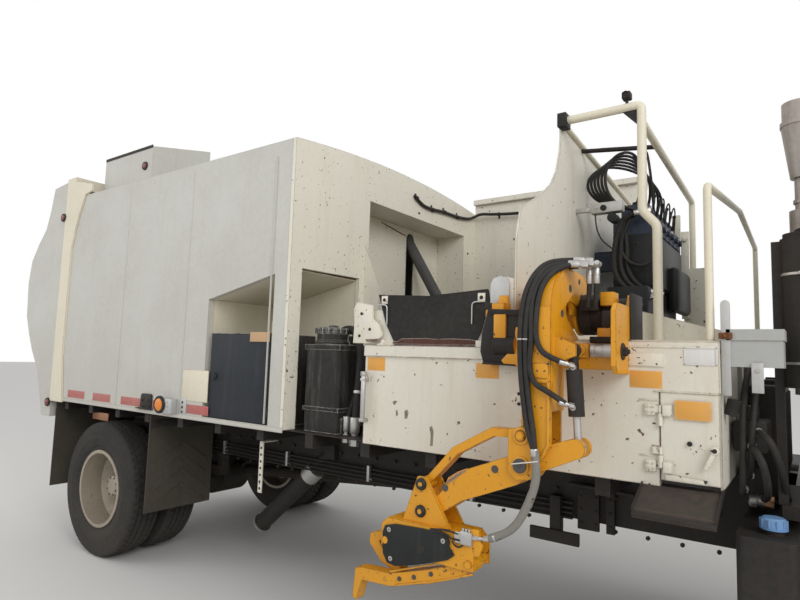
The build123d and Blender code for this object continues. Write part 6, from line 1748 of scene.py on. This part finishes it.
def makeUnderPipe(settings):
    top, end = Vector(settings["top"]), Vector(settings["end"])
    radius = settings["radius"]
    way = (top - end).normalized()
    bm = bmesh.new()
    addTurned(bm, end, way, [(radius * 0.72, 0.0), (radius * 0.95, 0.0), (radius, 0.008), (radius, 0.02),
        (radius * 0.9, 0.026), (radius * 0.9, 0.64), (radius, 0.65), (radius, 0.7), (radius * 0.8, 0.72),
        (radius * 0.8, 0.99), (0.0, 0.99), (0.0, 0.06), (radius * 0.66, 0.06)], 40)
    addBlock(bm, (top.x - 0.05, -0.475, top.z - 0.06), (top.x + 0.06, -0.33, top.z + 0.05), 0.012)
    makePiece("underCylinder", bm, "frameBlack")
    bm = bmesh.new()
    addTurned(bm, end, way, [(radius * 0.72, -0.006), (radius * 1.02, -0.006), (radius * 1.06, 0.002),
        (radius * 1.06, 0.012), (radius * 0.72, 0.012)], 40)
    addTurned(bm, end + way * 0.655, way, [(radius * 0.9, 0.0), (radius * 1.02, 0.002),
        (radius * 1.02, 0.105), (radius * 0.78, 0.108)], 40)
    makePiece("cylinderRings", bm, "bareSteel")
    bm = bmesh.new()
    addPlate(bm, "y", -1.104, 0.008, settings["bar"], 0.0015)
    addBlock(bm, (-0.735, -1.104, 1.06), (-0.7, -0.98, 1.068), 0.001)
    makePiece("drilledBar", bm, "hopperPaint")
    bm = bmesh.new()
    for n in range(settings["holes"]):
        z = 0.775 + 0.042 * n
        addRod(bm, (-0.7175, -1.1042, z), (-0.7175, -1.1052, z), 0.0085, 14)
    makePiece("barHoles", bm, "hoseBlack")


makeUnder(underSettings)
makeUnderPipe(pipeSettings)
print("underbody done")


# cab: panes with their seals, mirror glass, handles, lamps, grille, wipers, steering wheel, step treads
cabSettings = {
    "half": 1.18,
    "screenHalf": 1.066,
    "screen": [(cabFront - 0.018, 1.774), (cabFront - 0.0245, 1.774), (cabFront - 0.1465, 2.646),
        (cabFront - 0.14, 2.646)],
    "doorPane": (cabRear + 0.414, cabFront - 0.274, 1.824, 2.576),
    "rearPane": (cabRear + 0.092, cabRear + 0.248, 1.902, 2.498),
    "backPane": (0.698, 1.902, 2.448),
    "mirror": (cabFront - 0.19, 1.43, 1.84, 2.31),
    "slats": 7,
    "lampZ": 1.21,
    "bowl": [(0.062, 0.01), (0.058, 0.012), (0.05, 0.004), (0.022, -0.002), (0.0, -0.003)],
    "lens": [(0.0, 0.02), (0.035, 0.017), (0.057, 0.006), (0.06, 0.0), (0.0, 0.0)],
    "wheel": (3.56, 0.76, 1.8),
    "column": (-0.55, 0.0, 0.84),
}


def addSeal(bm, corners, radius):
    for a, b in zip(corners, corners[1:] + corners[:1]):
        addRod(bm, a, b, radius, 10)


def addSidePane(glass, seal, y, window):
    low, high, bottom, top = window
    addBlock(glass, (low, y - 0.0025, bottom), (high, y + 0.0025, top), 0.0)
    addSeal(seal, [(low, y, bottom), (high, y, bottom), (high, y, top), (low, y, top)], 0.009)


def makePanes(settings):
    glass = bmesh.new()
    seal = bmesh.new()
    half = settings["screenHalf"]
    addPlate(glass, "y", -half, 2 * half, settings["screen"], 0.0)
    (x0, z0), (x1, z1) = settings["screen"][0], settings["screen"][3]
    addSeal(seal, [(x0, -half, z0), (x0, half, z0), (x1, half, z1), (x1, -half, z1)], 0.012)
    for side in (-1, 1):
        addSidePane(glass, seal, side * (settings["half"] - 0.022), settings["rearPane"])
    half, bottom, top = settings["backPane"]
    x = cabRear + 0.022
    addBlock(glass, (x - 0.0025, -half, bottom), (x + 0.0025, half, top), 0.0)
    addSeal(seal, [(x, -half, bottom), (x, half, bottom), (x, half, top), (x, -half, top)], 0.009)
    makePiece("cabGlass", glass, "clearGlass", "cab")
    makePiece("cabSeals", seal, "hoseBlack", "cab")

    # each door has its pane and seal, a handle on a plate outside and a panel inside
    low, high = settings["doorPane"][:2]
    for side, hand in ((-1, "right"), (1, "left")):
        glass = bmesh.new()
        trim = bmesh.new()
        addSidePane(glass, trim, side * (settings["half"] - 0.022), settings["doorPane"])
        makePiece("doorGlass_" + hand, glass, "clearGlass", "door_" + hand)
        outer = side * settings["half"]
        addBlock(trim, (low + 0.05, outer + side * 0.001, 1.61), (low + 0.23, outer + side * 0.02, 1.646),
            0.006)
        addBlock(trim, (low + 0.03, outer - side * 0.001, 1.59), (low + 0.25, outer + side * 0.004, 1.666),
            0.0015)
        inner = side * (settings["half"] - 0.045)
        addBlock(trim, (low, inner, 1.2), (high, inner - side * 0.008, 1.79), 0.003)
        makePiece("doorTrim_" + hand, trim, "cabTrim", "door_" + hand)

    x, y, bottom, top = settings["mirror"]
    bm = bmesh.new()
    for side in (-1, 1):
        for z0, z1 in ((bottom + 0.16, top), (bottom, bottom + 0.145)):
            addBlock(bm, (x - 0.003, side * y - 0.078, z0), (x + 0.0005, side * y + 0.078, z1), 0.001)
    makePiece("mirrorGlass", bm, "mirrorGlass", "cab")


makePanes(cabSettings)


def makeCabFront(settings):
    bm = bmesh.new()
    for n in range(settings["slats"]):
        z = 1.13 + 0.074 * n
        addBlock(bm, (cabFront - 0.001, -0.62, z), (cabFront + 0.022, 0.62, z + 0.034), 0.006)
    addBlock(bm, (cabFront - 0.001, -0.64, 1.11), (cabFront + 0.004, 0.64, 1.64))
    for side in (-1, 1):
        addRod(bm, (cabFront + 0.006, side * 0.56, 1.742), (cabFront - 0.026, side * 0.08, 2.01), 0.007, 10)
        addRod(bm, (cabFront - 0.005, side * 0.15, 1.87), (cabFront - 0.044, side * 0.04, 2.14), 0.006, 8)
        addTurned(bm, (cabFront - 0.002, side * 0.56, 1.735), (1, 0, 0), [(0.0, 0.016), (0.014, 0.014),
            (0.019, 0.0), (0.0, 0.0)], 20)
        addBlock(bm, (cabFront - 0.001, side * 0.93 - 0.19, 1.12),
            (cabFront + 0.01, side * 0.93 + 0.19, 1.3), 0.004)
    makePiece("cabGrille", bm, "cabTrim", "cab")

    lens = bmesh.new()
    amber = bmesh.new()
    bright = bmesh.new()
    for side in (-1, 1):
        for n in range(2):
            y = side * (0.84 + 0.13 * n)
            addTurned(bright, (cabFront + 0.006, y, settings["lampZ"]), (1, 0, 0), settings["bowl"], 36)
            addTurned(lens, (cabFront + 0.008, y, settings["lampZ"]), (1, 0, 0), settings["lens"], 36)
        addBlock(amber, (cabFront + 0.004, side * 1.075 - 0.036, 1.14),
            (cabFront + 0.02, side * 1.075 + 0.036, 1.28), 0.006)
    makePiece("headLenses", lens, "clearGlass", "cab")
    makePiece("headBowls", bright, "bareSteel", "cab")
    makePiece("cabAmber", amber, "lensAmber", "cab")

    # steering wheel with three spokes on its column, and a belt buckle on each seat
    bm = bmesh.new()
    centre = Vector(settings["wheel"])
    axis = Vector(settings["column"]).normalized()
    addTurned(bm, centre, axis, [(0.232, 0.0), (0.226, 0.013), (0.212, 0.013), (0.206, 0.0), (0.212, -0.013),
        (0.226, -0.013)], 40)
    across = Vector((0.0, 1.0, 0.0))
    along = axis.cross(across)
    for angle in (90.0, 210.0, 330.0):
        way = across * math.cos(math.radians(angle)) + along * math.sin(math.radians(angle))
        addRod(bm, centre, centre + way * 0.21, 0.012, 10)
    addTurned(bm, centre, axis, [(0.0, 0.018), (0.045, 0.014), (0.058, 0.0), (0.05, -0.03), (0.0, -0.034)])
    addRod(bm, centre - axis * 0.02, centre - axis * 0.3, 0.028, 16)
    for side in (-1, 1):
        addBlock(bm, (2.7, side * 0.76 - 0.018, 1.54), (2.73, side * 0.76 + 0.018, 1.6), 0.004)
    makePiece("steeringWheel", bm, "cabTrim", "cab")

    bm = bmesh.new()
    for side in (-1, 1):
        addBlock(bm, (cabFront - 0.13, side * 0.86 - 0.15, 0.56),
            (cabFront + 0.02, side * 0.86 + 0.15, 0.58), 0.004)
    makePiece("frontTreads", bm, "galvanised")


makeCabFront(cabSettings)
print("cab done")
